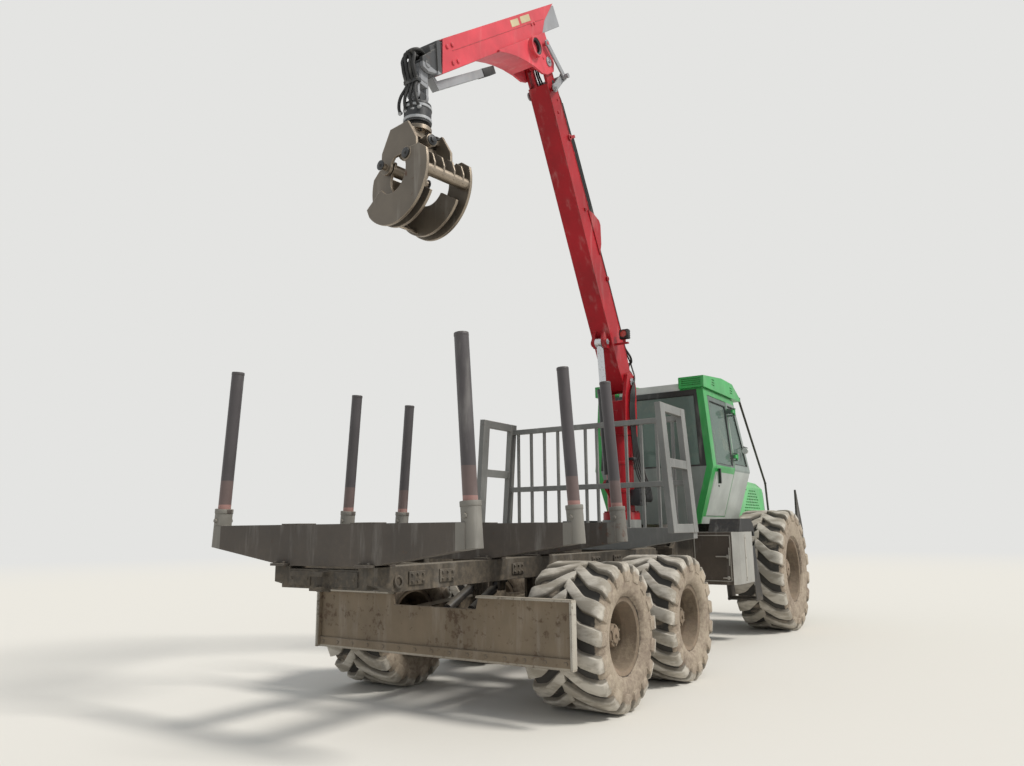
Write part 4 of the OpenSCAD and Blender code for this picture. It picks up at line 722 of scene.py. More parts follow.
def addTyre(name, node, body, centre, s, kind):
    half = s["width"] / 2
    k = s[kind]
    top = k["radius"] - s["lugHeight"]
    shape = Shape(name, machinePlace @ Matrix.Translation(centre))
    lift = shape.bm.verts.layers.float.new("lift")
    flank = shape.bm.verts.layers.float.new("flank")
    deep = top - k["bead"]
    wall, lining = ([(k["bead"] + add + deep * share, out * half) for add, share, out in s[part]]
                    for part in ("wall", "lining"))
    outline = wall + [(top + s["crown"], 0.0)] + [(r, -y) for r, y in reversed(wall)]
    outline += [(r, -y) for r, y in lining] + lining[::-1]
    shape.ring(outline, (0, 0, 0), (0, 1, 0), s["steps"])
    muddyFrom, fade = s["muddy"]
    for v in shape.bm.verts:
        spot = shape.place.inverted() @ v.co
        v[lift] = 0.0
        v[flank] = max(0.0, min(1.0, (abs(spot.y) / half - muddyFrom) / fade))
    lug = lugMesh(s, k)
    # the left and the right half of the tread lie half a lug apart
    for sign, ahead in ((1, 0.0), (-1, 0.5)):
        for i in range(k["lugs"]):
            turned = lug.copy()
            turn = Matrix.Rotation(math.tau / k["lugs"] * (i + ahead), 4, "Y")
            turned.transform(shape.place @ turn @ Matrix.Diagonal((1, sign, 1, 1)))
            shape.bm.from_mesh(turned)
            bpy.data.meshes.remove(turned)
    return shape.finish(body, "tyre_rubber", 40, (node,))


for end, (x, z, kind) in wheels.items():
    for sign, sideName in bothSides:
        wheel = end + "_" + sideName
        centre = (x, sign * track, z)
        addTyre("lugged_tyre_" + wheel, "tyre_" + wheel, "wheel_" + wheel, centre, tyreSetup, kind)
print("tyres made")

hubSetup = {
    "dish": 1.060,
    "front": {"nutCircle": 0.235, "nuts": 12, "hub": 0.190, "hubOut": 0.190, "reach": 0.070, "drum": 0.150},
    "rear": {"nutCircle": 0.170, "nuts": 10, "hub": 0.130, "hubOut": 0.110, "reach": 0.140, "drum": 0.100},
    "sunk": 0.001,
    "washer": (0.021, 0.008), "nut": (0.036, 0.024), "stud": (0.0095, 0.030, 0.046),
    "ringBolts": 8, "ringIn": 0.036, "ringBolt": (0.022, 0.012),
    "drumTip": 0.90, "coverShare": 0.62, "cover": 0.012,
    "coverBolts": 6, "coverCircle": 0.75, "coverBolt": (0.020, 0.011),
    "plug": (0.034, 0.014), "valve": (0.10, 0.055, 0.007),
}


def addHub(name, body, centre, side, s, kind):
    k = s[kind]
    shape = Shape(name, machinePlace @ Matrix.Translation(centre), side)
    out = (0, 1, 0)
    washer, seat = s["washer"]
    stud, studFrom, studTo = s["stud"]
    for x, z in around(k["nuts"], k["nutCircle"]):
        shape.rod((x, -s["sunk"], z), (x, seat, z), washer, sides=16)
        shape.bolt((x, seat, z), out, *s["nut"])
        shape.rod((x, studFrom, z), (x, studTo, z), stud, sides=10)
    for x, z in around(s["ringBolts"], k["hub"] - s["ringIn"], 0):
        shape.bolt((x, k["hubOut"] - s["sunk"], z), out, *s["ringBolt"])
    # reduction gear's drum, the bolted cover on its end and the oil plug
    end = k["hubOut"] + k["reach"]
    drum = k["drum"]
    shape.rod((0, k["hubOut"] - 0.002, 0), (0, end, 0), drum, drum * s["drumTip"], sides=40, soft=0.012)
    shape.rod((0, end - 0.002, 0), (0, end + s["cover"], 0), drum * s["coverShare"], sides=32, soft=0.004)
    for x, z in around(s["coverBolts"], drum * s["coverCircle"]):
        shape.bolt((x, end - s["sunk"], z), out, *s["coverBolt"])
    shape.bolt((0, end + s["cover"] - s["sunk"], 0), out, *s["plug"])
    valveOut, valveLength, valve = s["valve"]
    x = k["nutCircle"] + valveOut
    shape.rod((x, 0, 0), (x, valveLength, 0), valve, sides=10)
    return shape.finish(body, "rim_paint")


for end, (x, z, kind) in wheels.items():
    for sign, sideName in bothSides:
        wheel = end + "_" + sideName
        dish = (x, sign * hubSetup["dish"], z)
        addHub("hub_bolts_" + wheel, "wheel_" + wheel, dish, sign, hubSetup, kind)
print("hubs made")

bunkSetup = {
    "bolsters": (-2.650, -1.250, -0.460),
    "stakeFoot": 1.250, "footHeight": 1.350, "lean": 3.9,
    "collar": (1.598, 1.634, 0.0715),
    "socketBolt": (0.066, 1.540), "socketHead": (0.034, 0.016),
    "pad": ((-0.078, 0.25, 1.500), (0.078, 0.45, 1.508)),
    "clampX": 0.105, "clamp": ((-0.030, 0.350, 1.205), (0.030, 0.490, 1.223)),
    "clampBolts": (0.378, 0.462), "clampHead": (0.028, 0.014),
    "cap": (2.752, 0.022, 0.001, 0.0515),
}


def stakePoint(s, x, height):
    # a point on a left stake's own axis at a height over the floor
    inward = (height - s["footHeight"]) * math.tan(math.radians(s["lean"]))
    return Vector((x, s["stakeFoot"] - inward, height))


def addBunkDetails(s):
    shape = Shape("bolster_gussets")
    for x in s["bolsters"]:
        for _ in shape.both():
            # collar and clamp bolts of each socket, and the pad under the load
            low, high, radius = s["collar"]
            shape.rod(stakePoint(s, x, low), stakePoint(s, x, high), radius, sides=28, soft=0.003)
            out, height = s["socketBolt"]
            for turn in (-1, 1):
                shape.bolt(stakePoint(s, x + turn * out, height), (turn, 0, 0), *s["socketHead"])
            shape.block(*s["pad"], 0.002, shift=(x, 0, 0))
            # clamp plates and bolts that hold the bolster on the rails
            for middle in (x - s["clampX"], x + s["clampX"]):
                shape.block(*s["clamp"], 0.002, shift=(middle, 0, 0))
                for y in s["clampBolts"]:
                    shape.bolt((middle, y, s["clamp"][1][2]), (0, 0, 1), *s["clampHead"])
    shape.finish("rear", "bunk_paint")
    caps = Shape("stake_caps")
    height, below, above, radius = s["cap"]
    for x in s["bolsters"]:
        for _ in caps.both():
            top = stakePoint(s, x, height)
            caps.rod(top - Vector((0, 0, below)), top + Vector((0, 0, above)), radius, sides=28, soft=0.003)
    caps.finish("rear", "stake_paint")


railSetup = {
    "spliceX": (-2.30, -1.95, -0.95, 0.55, 1.05), "splice": ((-0.09, 0.500, 1.070), (0.09, 0.512, 1.165)),
    "boltX": (-0.06, 0.0, 0.06), "boltZ": (1.092, 1.143), "bolt": (0.022, 0.011),
    "eye": (-2.50, 0.506, 1.100),
    "endPlate": ((-2.734, 0.12, 1.070), (-2.724, 0.34, 1.170)), "endBolts": (-2.733, (0.15, 0.31), 1.120),
    "thickPipe": (0.011, ((1.75, 0.30, 1.085), (1.20, 0.315, 1.085), (0.40, 0.315, 1.085),
                          (-0.40, 0.31, 1.085), (-0.62, 0.24, 1.050), (-0.70, 0.215, 0.985))),
    "thinPipe": (0.009, ((1.70, 0.27, 1.115), (1.10, 0.285, 1.115), (0.20, 0.285, 1.115),
                         (-1.20, 0.285, 1.115), (-2.30, 0.285, 1.115))),
}


def addRailDetails(s):
    shape = Shape("rail_fittings")
    for _ in shape.both():
        # bolted splice plates and the lashing eyes along the rails
        for x in s["spliceX"]:
            shape.block(*s["splice"], shift=(x, 0, 0))
            for dx in s["boltX"]:
                for z in s["boltZ"]:
                    shape.bolt((x + dx, s["splice"][1][1], z), (0, 1, 0), *s["bolt"])
        shape.band(0.030, 0.046, -0.008, 0.008, s["eye"], (0, 1, 0.2))
        # blank plates where the rear cross member has its reflectors
        shape.block(*s["endPlate"])
        x, places, z = s["endBolts"]
        for y in places:
            shape.bolt((x, y, z), (-1, 0, 0), 0.020, 0.010)
    shape.finish("rear", "frame_paint")
    radius, points = s["thickPipe"]
    hoses("rear_pipes", "rear", "cylinder_paint",
          [(radius, [(x, side * y, z) for x, y, z in points]) for side in (1, -1)] + [s["thinPipe"]])


bladeSetup = {
    "edge": ((-1.490, -1.322, 0.420), (-1.470, 1.322, 0.505)),
    "plugs": (15, -1.26, 0.18), "plug": (-1.496, -1.489, 0.468, 0.014),
    "ribY": (0.86, 1.10), "rib": ((-1.452, -0.006, 0.44), (-1.412, 0.006, 0.905)),
    "end": ((-1.512, 1.301, 0.425), (-1.440, 1.333, 0.930)), "endSoft": 0.012,
}


def addBladeDetails(s):
    blade = Shape("blade_edge")
    # welded cutting edge with its bolts, ribs on the back of the plate, and thick worn end plates
    blade.block(*s["edge"])
    count, first, pitch = s["plugs"]
    rear, front, z, radius = s["plug"]
    for k in range(count):
        y = first + k * pitch
        blade.rod((rear, y, z), (front, y, z), radius, sides=16, soft=0.002)
    for _ in blade.both():
        for y in s["ribY"]:
            blade.block(*s["rib"], 0.002, shift=(0, y, 0))
        blade.block(*s["end"], s["endSoft"])
    blade.finish("blade", "blade_paint")


centreSetup = {
    "count": 6, "first": -0.15, "pitch": 0.06, "radius": 0.014, "lift": 0.030,
    # x, share of the hose's own y, z, share of its lift, more height of every second hose
    "route": ((3.30, 1, 1.236, 0, 0.010), (3.12, 1, 1.262, 1, 0), (2.92, 1.15, 1.335, 1, 0),
              (2.74, 1.1, 1.300, 1, 0), (2.66, 1, 1.224, 0, 0.012), (2.60, 1, 1.218, 0, 0)),
    "bends": ((2.66, 0, 1.25), (3.12, 0, 1.25)),
    # each clamp's body, corners, outer bolt's place and bolt's size
    "hose_clamp_front": ("front", ((3.19, -0.20, 1.190), (3.25, 0.20, 1.262)),
                         (3.22, 0.17, 1.262), (0.022, 0.012)),
    "hose_clamp_rear": ("rear", ((2.605, -0.19, 1.205), (2.645, 0.19, 1.246)),
                        (2.625, 0.165, 1.246), (0.020, 0.010)),
    "foot": ((3.17, -0.31, 1.180), (3.27, 0.31, 1.200)),
}


def addCentreHoses(s):
    # hoses from the front unit to the rear unit pass over the middle joint in loops
    routes = []
    for k in range(s["count"]):
        y = s["first"] + k * s["pitch"]
        lift = s["lift"] * (k % 3)
        routes.append((s["radius"], [(x, y * spread, z + share * lift + odd * (k % 2))
                                     for x, spread, z, share, odd in s["route"]]))
    start, end = s["bends"]
    hoses("centre_hoses", ("rear", "front", at(*start), at(*end)), "black_plastic", routes)
    for name in ("hose_clamp_front", "hose_clamp_rear"):
        body, box, (x, out, z), head = s[name]
        clamp = Shape(name)
        clamp.block(*box, 0.004)
        for y in (-out, 0.0, out):
            clamp.bolt((x, y, z), (0, 0, 1), *head)
        if body == "front":
            clamp.block(*s["foot"])
        clamp.finish(body, "frame_paint")


addBunkDetails(bunkSetup)
addRailDetails(railSetup)
addBladeDetails(bladeSetup)
addCentreHoses(centreSetup)
print("rear unit dressed")

boomSetup = {
    # the box's upper face as (place along the boom, height)
    "top": ((0, 0.175), (1.200, 0.175), (3.800, 0.125)),
    "pipeX": (0.42, 0.8, 1.2, 1.8, 2.4, 3.0, 3.45),
    "pipe": 0.011, "pipeY": 0.092, "pipeLane": 0.024, "pipeOver": 0.022,
    "hoseY": 0.112, "hoseRow": 0.036,
    "thick": (0.018, ((1.80, 0.030), (1.98, 0.056), (2.20, 0.062), (2.60, 0.058), (3.00, 0.056),
                      (3.16, 0.050))),
    "thin": (0.012, ((3.12, 0.060), (3.20, 0.058), (3.40, 0.052), (3.56, 0.048))),
    "cheek": (((1.68, 0.120), (2.26, 0.108), (2.20, 0.222), (2.08, 0.345), (2.02, 0.350), (1.80, 0.235)),
              0.1252, 0.1372),
    "holder": ((3.130, 0.088, 0.150), (3.170, 0.136, 0.262)),
    "eyes": ((0.020, 0.036, (3.150, 0.1352, 0.105)), (0.016, 0.030, (1.360, 0.1352, 0.160))),
    "marks": ((3.80, 0.052, 0.034, 28), (3.93, 0.048, 0.020, 24)), "markY": (0.1248, 0.1262),
    "clampX": (0.55, 1.12, 1.72, 2.34, 2.96, 3.36),
    "clamp": ((-0.018, 0.077, -0.004), (0.018, 0.124, 0.033)), "clampBolt": (0.104, 0.016, 0.008),
    "face": 0.125, "seams": ((-0.168, -0.118), (0.168, 0.118)), "seam": 0.0055, "seamX": (0.30, 1.20, 3.80),
    "lug": (2.28, 0.132, 0.040),
    "nipples": ((3.46, -0.010, 0.020), (3.60, 0.052, 0.014)), "nippleOut": 0.131,
    # pins: centre of the cap, its depth and radius, the bolt's width and height, sides
    "pins": (((0, 0.176, 0), 0.010, 0.058, (0.036, 0.016), 32),
             ((0.650, 0.103, -0.250), 0.009, 0.034, (0.026, 0.012), 28),
             ((3.730, 0.180, -0.040), 0.006, 0.034, (0.026, 0.010), 28)),
}


def addBoomDetails(s):
    out = (0, 1, 0)

    def over(x, y, height):
        return (x, y, along(s["top"], x) + height)

    pipes = [(s["pipe"], [over(x, side * (s["pipeY"] + lane), s["pipeOver"]) for x in s["pipeX"]])
             for side in (1, -1) for lane in (0.0, s["pipeLane"])]
    hoses("boom_pipes", "main_boom", "black_plastic", pipes, boomPlace)
    thick = [(radius, [over(x, side * s["hoseY"], height + row) for x, height in points])
             for side in (1, -1) for (radius, points), row in
             ((s["thick"], 0.0), (s["thick"], s["hoseRow"]), (s["thin"], 0.0))]
    hoses("boom_hoses", "main_boom", "black_plastic", thick, boomPlace)
    cheek = Shape("boom_hose_cheeks", boomPlace)
    for _ in cheek.both():
        cheek.plate(*s["cheek"])
        cheek.block(*s["holder"], 0.004)
        for inner, outer, centre in s["eyes"]:
            cheek.band(inner, outer, -0.008, 0.008, centre, out)
    cheek.finish("main_boom", "crane_red")
    mark = Shape("boom_head_marks", boomPlace)
    low, high = s["markY"]
    for _ in mark.both():
        for x, z, radius, count in s["marks"]:
            mark.rod((x, low, z), (x, high, z), radius, sides=count)
    mark.finish("main_boom", "black_plastic")
    shape = Shape("boom_clamps", boomPlace)
    boltY, *head = s["clampBolt"]
    foot, knee, end = s["seamX"]
    for _ in shape.both():
        for x in s["clampX"]:
            shape.block(*s["clamp"], shift=over(x, 0, 0))
            shape.bolt(over(x, boltY, s["clamp"][1][2]), (0, 0, 1), *head)
        # weld seams, grease nipples and small lifting lugs on the box
        for z0, z1 in s["seams"]:
            shape.rod((foot, s["face"], z0), (knee, s["face"], z0), s["seam"], sides=8)
            shape.rod((knee, s["face"], z0), (end, s["face"], z1), s["seam"], sides=8)
        shape.band(0.012, 0.024, -0.006, 0.006, s["lug"], out, 24)
        for x, z, radius in s["nipples"]:
            shape.rod((x, s["face"], z), (x, s["nippleOut"], z), radius, soft=0.002)
    shape.finish("main_boom", "crane_red")
    pins = Shape("boom_pins", boomPlace)
    for _ in pins.both():
        for centre, *rest in s["pins"]:
            pins.cap(centre, out, *rest)
    pins.finish("main_boom", "link_grey")


def fan(radius, count, rows):
    # hoses side by side; a row is the first one's point and the step to the next one's
    return [(radius, [Vector(first) + k * Vector(step) for first, step in rows]) for k in range(count)]


columnSetup = {
    "axis": 2.300, "flange": (16, 0.205, 1.635, 0.030, 0.018), "bands": (1.90, 2.25), "band": (0.170, 0.176),
    "pin": (2.370, 3.300), "pinCap": (0.1755, 0.181, 0.070), "pinBolts": (6, 0.056, 0.016, 0.008),
    "valve": ((2.21, -0.300, 1.72), (2.43, -0.168, 1.92)), "spools": 5, "spoolX": 2.235, "spoolPitch": 0.042,
    "hose": 0.010,
    "rising": (((2.235, -0.326, 1.775), (0.042, 0, 0)), ((2.235, -0.362, 1.772), (0.042, 0, 0)),
               ((2.245, -0.366, 1.86), (0.042, 0, 0)), ((2.235, -0.262, 2.10), (0.042, -0.01, 0)),
               ((2.24, -0.215, 2.50), (0.035, 0, 0)), ((2.22, -0.205, 2.90), (0.035, 0, 0)),
               ((2.24, -0.203, 3.02), (0.03, 0, 0))),
    "straps": (2.30, 2.75), "strap": ((2.205, -0.238, -0.016), (2.405, -0.160, 0.016)),
    "bent": (((2.24, -0.203, 3.00), (0.03, 0, 0)), ((2.26, -0.208, 3.14), (0.03, 0, 0)),
             ((2.41, -0.200, 3.34), (0.03, 0.02, 0)), ((2.56, -0.10, 3.55), (0.02, 0.05, 0))),
    "lanes": (0.092, 0.116, -0.116, -0.092, 0.104), "bend": (0.20, 1.1, 0.275), "end": (0.42, 1.0, 0.197),
    "bends": ((2.35, 0, 3.02), (2.45, 0, 3.62)),
}


def addColumnDetails(s):
    shape = Shape("column_fittings")
    # flange bolts, bands and the bolted caps of the boom's pin
    count, radius, z, *head = s["flange"]
    for x, y in around(count, radius):
        shape.bolt((s["axis"] + x, y, z), (0, 0, 1), *head)
    for z in s["bands"]:
        shape.band(*s["band"], -0.020, 0.020, (s["axis"], 0, z), (0, 0, 1), 48)
    pinX, pinZ = s["pin"]
    low, high, cap = s["pinCap"]
    count, radius, *head = s["pinBolts"]
    for _ in shape.both():
        shape.rod((pinX, low, pinZ), (pinX, high, pinZ), cap, sides=32, soft=0.003)
        for x, z in around(count, radius, 0):
            shape.bolt((pinX + x, high, pinZ + z), (0, 1, 0), *head)
    shape.finish("crane_column", "crane_red")
    valve = Shape("valve_block")
    low, high = s["valve"]
    valve.block(low, high, 0.006)
    for k in range(s["spools"]):
        x = s["spoolX"] + k * s["spoolPitch"]
        valve.rod((x, -0.234, high[2]), (x, -0.234, 1.966), 0.015, sides=18, soft=0.003)
        valve.rod((x, low[1], 1.775), (x, -0.332, 1.775), 0.013, sides=14, soft=0.002)
        valve.bolt((x, low[1], 1.860), (0, -1, 0), 0.028, 0.016)
    valve.finish("crane_column", "rotator_grey")
    hoses("column_hoses", "crane_column", "black_plastic", fan(s["hose"], s["spools"], s["rising"]))
    strap = Shape("column_hose_straps")
    for z in s["straps"]:
        strap.block(*s["strap"], 0.005, shift=(0, 0, z))
    strap.finish("crane_column", "rotator_grey")
    bent = fan(s["hose"], s["spools"], s["bent"])
    for (_, points), lane in zip(bent, s["lanes"]):
        points += [inMachine(boomPlace, x, lane * spread, z) for x, spread, z in (s["bend"], s["end"])]
    start, end = s["bends"]
    hoses("shoulder_hoses", ("crane_column", "main_boom", at(*start), at(*end)), "black_plastic", bent)


lampSetup = {
    "centre": (2.045, -0.250, 3.860),
    "arm": ((2.020, -0.300, 3.735), (2.060, -0.120, 3.755)),
    "stem": ((2.030, -0.262, 3.755), (2.050, -0.238, 3.800)),
    "case": ((-0.040, -0.062, -0.062), (0.035, 0.062, 0.062)),
    "fins": 4, "fin": ((0.034, -0.052, -0.045), (0.058, 0.052, -0.037)), "finPitch": 0.028,
    "rim": (0.046, 0.056, 0.0, 0.014), "glass": 0.007,
}


def addLamp(s):
    # a work lamp on a red bracket at the foot of the boom
    shape = Shape("boom_lamp_bracket")
    shape.block(*s["arm"])
    shape.block(*s["stem"])
    shape.finish("main_boom", "crane_red")
    place = machinePlace @ Matrix.Translation(s["centre"])
    lamp = Shape("boom_lamp", place)
    lamp.block(*s["case"], 0.012)
    for k in range(s["fins"]):
        lamp.block(*s["fin"], 0.001, shift=(0, 0, k * s["finPitch"]))
    front = s["case"][0][0]
    lamp.band(*s["rim"], (front, 0, 0), (-1, 0, 0), 32)
    lamp.finish("main_boom", "black_plastic")
    lens = Shape("boom_lamp_lens", place)
    lens.rod((front, 0, 0), (front - s["glass"], 0, 0), s["rim"][0], sides=32, soft=0.002)
    lens.finish("main_boom", "lampRed")


addBoomDetails(boomSetup)
addColumnDetails(columnSetup)
addLamp(lampSetup)

jibSetup = {
    "pin": ((0, 0.154, 0), 0.012, 0.056, (0.036, 0.014)),
    "face": 0.125,
    # screws: place along the jib, height at the wall and at the head, radius, head's distance
    "screws": ((1.92, 0.350, 0.350, 0.022, 0.137), (1.92, 0.505, 0.505, 0.022, 0.137),
               (2.02, 0.352, 0.350, 0.022, 0.137), (2.02, 0.505, 0.505, 0.022, 0.137),
               (-0.02, 0.440, 0.440, 0.018, 0.135), (0.06, 0.440, 0.440, 0.018, 0.135)),
    "seam": ((-0.30, 0.126, 0.455), (1.95, 0.126, 0.455), 0.0035),
    "nipple": ((0.10, 0.155, 0.060), (0.10, 0.160, 0.060), 0.016),
    "plates": (((0.36, 0.1250, 0.478), (0.56, 0.1262, 0.550)),
               ((0.05, 0.1250, 0.482), (0.30, 0.1262, 0.556))),
    "lining": ((0.070, 0.0), (0.094, 0.0), (0.094, 0.040), (0.070, 0.030)),
    "liningAt": (0.270, 0.166, 0.205),
}


def addJibDetails(s):
    pins = Shape("jib_pins", jibPlace)
    centre, *rest = s["pin"]
    for _ in pins.both():
        pins.cap(centre, (0, 1, 0), *rest)
    pins.finish("outer_boom", "link_grey")
    shape = Shape("jib_fittings", jibPlace)
    for _ in shape.both():
        # slide pad screws at the mouth and at the rear, and the long weld seams
        for x, low, high, radius, out in s["screws"]:
            shape.rod((x, s["face"], low), (x, out, high), radius, soft=0.002)
        shape.rod(*s["seam"], sides=6)
        shape.rod(*s["nipple"], sides=18, soft=0.002)
    shape.finish("outer_boom", "jib_red")
    # the blank plates on the boom's sides
    plate = Shape("jib_blank_plates", jibPlace)
    lining = Shape("hose_tube_lining", jibPlace)
    for _ in plate.both():
        for low, high in s["plates"]:
            plate.block(low, high, 0.0)
    plate.finish("outer_boom", "plateYellow")
    for _ in lining.both():
        lining.ring(s["lining"], s["liningAt"], (0, 1, 0), 40)
    lining.finish("outer_boom", "black_plastic")


elbowSetup = {
    "radius": 0.011, "lane": 0.024, "start": (3.45, 0.092, 0.022), "on": (3.64, 0.086, 0.020),
    # place along the arm, distance from its middle, less for the inner hose, height
    "boom": ((3.80, 0.080, 0.025, 0.139), (3.93, 0.076, 0.025, 0.094), (4.06, 0.076, 0.025, 0.078)),
    "jib": ((0.170, 0.085, 0.175), (0.270, 0.080, 0.250)), "jibStep": 0.05,
    "bendBoom": (3.93, 0, 0.09), "bendJib": (0.17, 0, 0.18),
}


def addElbowHoses(s):
    # loops from the boom's pipes round the elbow into the hose tube
    routes = []
    for side in (1, -1):
        for k in range(2):
            points = [inMachine(boomPlace, x, side * (y + s["lane"] * k), along(boomSetup["top"], x) + over)
                      for x, y, over in (s["start"], s["on"])]
            points += [inMachine(boomPlace, x, side * (y - less * k), z) for x, y, less, z in s["boom"]]
            points += [inMachine(jibPlace, x + s["jibStep"] * k, side * y, z) for x, y, z in s["jib"]]
            routes.append((s["radius"], points))
    start, end = boomPlace @ Vector(s["bendBoom"]), jibPlace @ Vector(s["bendJib"])
    hoses("elbow_hoses", ("main_boom", "outer_boom", start, end), "black_plastic", routes)


tipSetup = {
    "axis": -1.765, "y": (-0.058, -0.019, 0.020, 0.059),
    "upper": 0.017, "lower": 0.015,
    # the jib's points: x, share of y, z, more height for every second hose; then the hanger's
    "jibRows": ((2.30, 0.8, 0.50, -0.02), (2.47, 1.0, 0.560, 0.015)),
    "hangerRows": ((-1.890, 0.01, 5.690, -0.02), (-1.905, 0, 5.560, 0), (-1.872, 0, 5.470, 0),
                   (-1.845, 0, 5.420, 0)),
    "lowerRows": ((-1.845, 1, 5.430), (-1.872, 1, 5.370), (-1.905, 1.5, 5.270), (-1.900, 1.8, 5.190),
                  (-1.878, 1.9, 5.150)),
    "upperBends": ((-1.80, 0, 5.70), (-1.85, 0, 5.50)), "lowerBends": ((-1.86, 0, 5.40), (-1.86, 0, 5.25)),
    "clamp": ((-1.872, -0.082, 5.420), (-1.818, 0.082, 5.462)), "clampBolts": (-0.070, 0.0, 0.070),
    "ferrule": (-1.884, 5.138, 0.022, 0.017), "spread": 1.9,
    "bolts": (12, 0.108, 5.230, 0.018, 0.010),
    "ring": (0.118, 0.131), "rings": ((5.060, 0.028), (5.180, 0.024)),
    "pinZ": 5.620, "pinParts": ((0.066, 0.073, 0.058, 32, 0.003), (0.073, 0.118, 0.034, 24, 0.004)),
    "cheek": ((-1.812, 0.062, 5.46), (-1.718, 0.070, 5.56)),
    "lowPin": (0.077, 5.330, 0.015, 0.048, (0.032, 0.012)),
    "guard": ((1.110, -0.047, 0.116), (1.372, 0.047, 0.202)), "guardTurn": -3.1,
    "headBolts": ((2.180, 0.088, 0.550), (2.255, 0.088, 0.460), (2.330, 0.088, 0.370)),
}


def addTip(s):
    upper, lower = [], []
    for k, y in enumerate(s["y"]):
        odd = k % 2
        points = [inMachine(jibPlace, x, y * spread, z + more * odd) for x, spread, z, more in s["jibRows"]]
        points += [(x, y + aside, z + more * odd) for x, aside, z, more in s["hangerRows"]]
        upper.append((s["upper"], points))
        lower.append((s["lower"], [(x, y * spread, z) for x, spread, z in s["lowerRows"]]))
    start, end = s["upperBends"]
    hoses("tip_hoses", ("extension", "hanger", at(*start), at(*end)), "black_plastic", upper)
    clamp = Shape("hanger_hose_clamp")
    low, high = s["clamp"]
    clamp.block(low, high, 0.004)
    for y in s["clampBolts"]:
        clamp.bolt((low[0], y, (low[2] + high[2]) / 2), (-1, 0, 0), 0.016, 0.008)
    clamp.finish("hanger", "rotator_grey")
    start, end = s["lowerBends"]
    hoses("rotator_hoses", ("hanger", "rotator", at(*start), at(*end)), "black_plastic", lower)
    rotator = Shape("rotator_fittings")
    x, z, step, radius = s["ferrule"]
    for y in s["y"]:
        y *= s["spread"]
        rotator.rod((x, y, z), (x + step, y, z + step), radius, sides=16, soft=0.002)
    count, radius, height, *head = s["bolts"]
    for x, y in around(count, radius):
        rotator.bolt((s["axis"] + x, y, height), (0, 0, 1), *head)
    for z, height in s["rings"]:
        rotator.band(*s["ring"], 0.0, height, (s["axis"], 0, z), (0, 0, 1), 48)
    rotator.finish("rotator", "flange_grey")
    # pins and cheeks of the hanging link
    hanger = Shape("hanger_fittings")
    for _ in hanger.both():
        for low, high, radius, count, soft in s["pinParts"]:
            start, end = (s["axis"], low, s["pinZ"]), (s["axis"], high, s["pinZ"])
            hanger.rod(start, end, radius, sides=count, soft=soft)
        hanger.block(*s["cheek"])
    out, z, *rest = s["lowPin"]
    for end in (1, -1):
        hanger.cap((s["axis"] + end * out, 0, z), (end, 0, 0), *rest)
    hanger.finish("hanger", "link_grey")
    guard = Shape("hose_guard_end", jibPlace)
    guard.block(*s["guard"], 0.008, Matrix.Rotation(math.radians(s["guardTurn"]), 4, "Y"))
    guard.finish("extension", "black_plastic")
    bolts = Shape("jib_head_fittings", jibPlace)
    for _ in bolts.both():
        for spot in s["headBolts"]:
            bolts.bolt(spot, (0.8, 0, 0.6), 0.024, 0.012)
    bolts.finish("extension", "rotator_grey")


addJibDetails(jibSetup)
addElbowHoses(elbowSetup)
addTip(tipSetup)
print("crane dressed")

grappleSetup = {
    "pin": (0.170, 0.268, -0.380), "pinCap": (0.012, 0.046, (0.030, 0.012)),
    "gland": (0.190, -0.170), "glandCap": (0.022, 0.050, (0.060, 0.018)),
    "port": ((0.130, 0.050, -0.140), (0.130, 0.082, -0.120), 0.016),
    "bolts": (8, 0.106, -0.046, 0.024, 0.012),
    "hose": (0.011, ((0.130, 0.080, -0.122), (0.150, 0.120, -0.100), (0.120, 0.135, -0.070),
                     (0.090, 0.105, -0.058))),
}


def addGrappleDetails(s):
    shape = Shape("grapple_pin_caps", grapplePlace)
    x, y, z = s["pin"]
    glandX, glandZ = s["gland"]
    (portX, *low), (_, *high), port = s["port"]
    for end in (1, -1):
        for _ in shape.both():
            shape.cap((end * x, y, z), (0, 1, 0), *s["pinCap"])
        # gland, nut and port of the claws' cylinder
        shape.cap((end * glandX, 0, glandZ), (end, 0, 0), *s["glandCap"])
        shape.rod((end * portX, *low), (end * portX, *high), port, sides=16, soft=0.002)
    count, radius, height, *head = s["bolts"]
    for x, y in around(count, radius):
        shape.bolt((x, y, height), (0, 0, -1), *head)
    shape.finish("grapple_frame", "rotator_grey")
    radius, points = s["hose"]
    hoses("grapple_hoses", "grapple_frame", "black_plastic",
          [(radius, [(end * x, y, z) for x, y, z in points]) for end in (1, -1)], grapplePlace)


addGrappleDetails(grappleSetup)

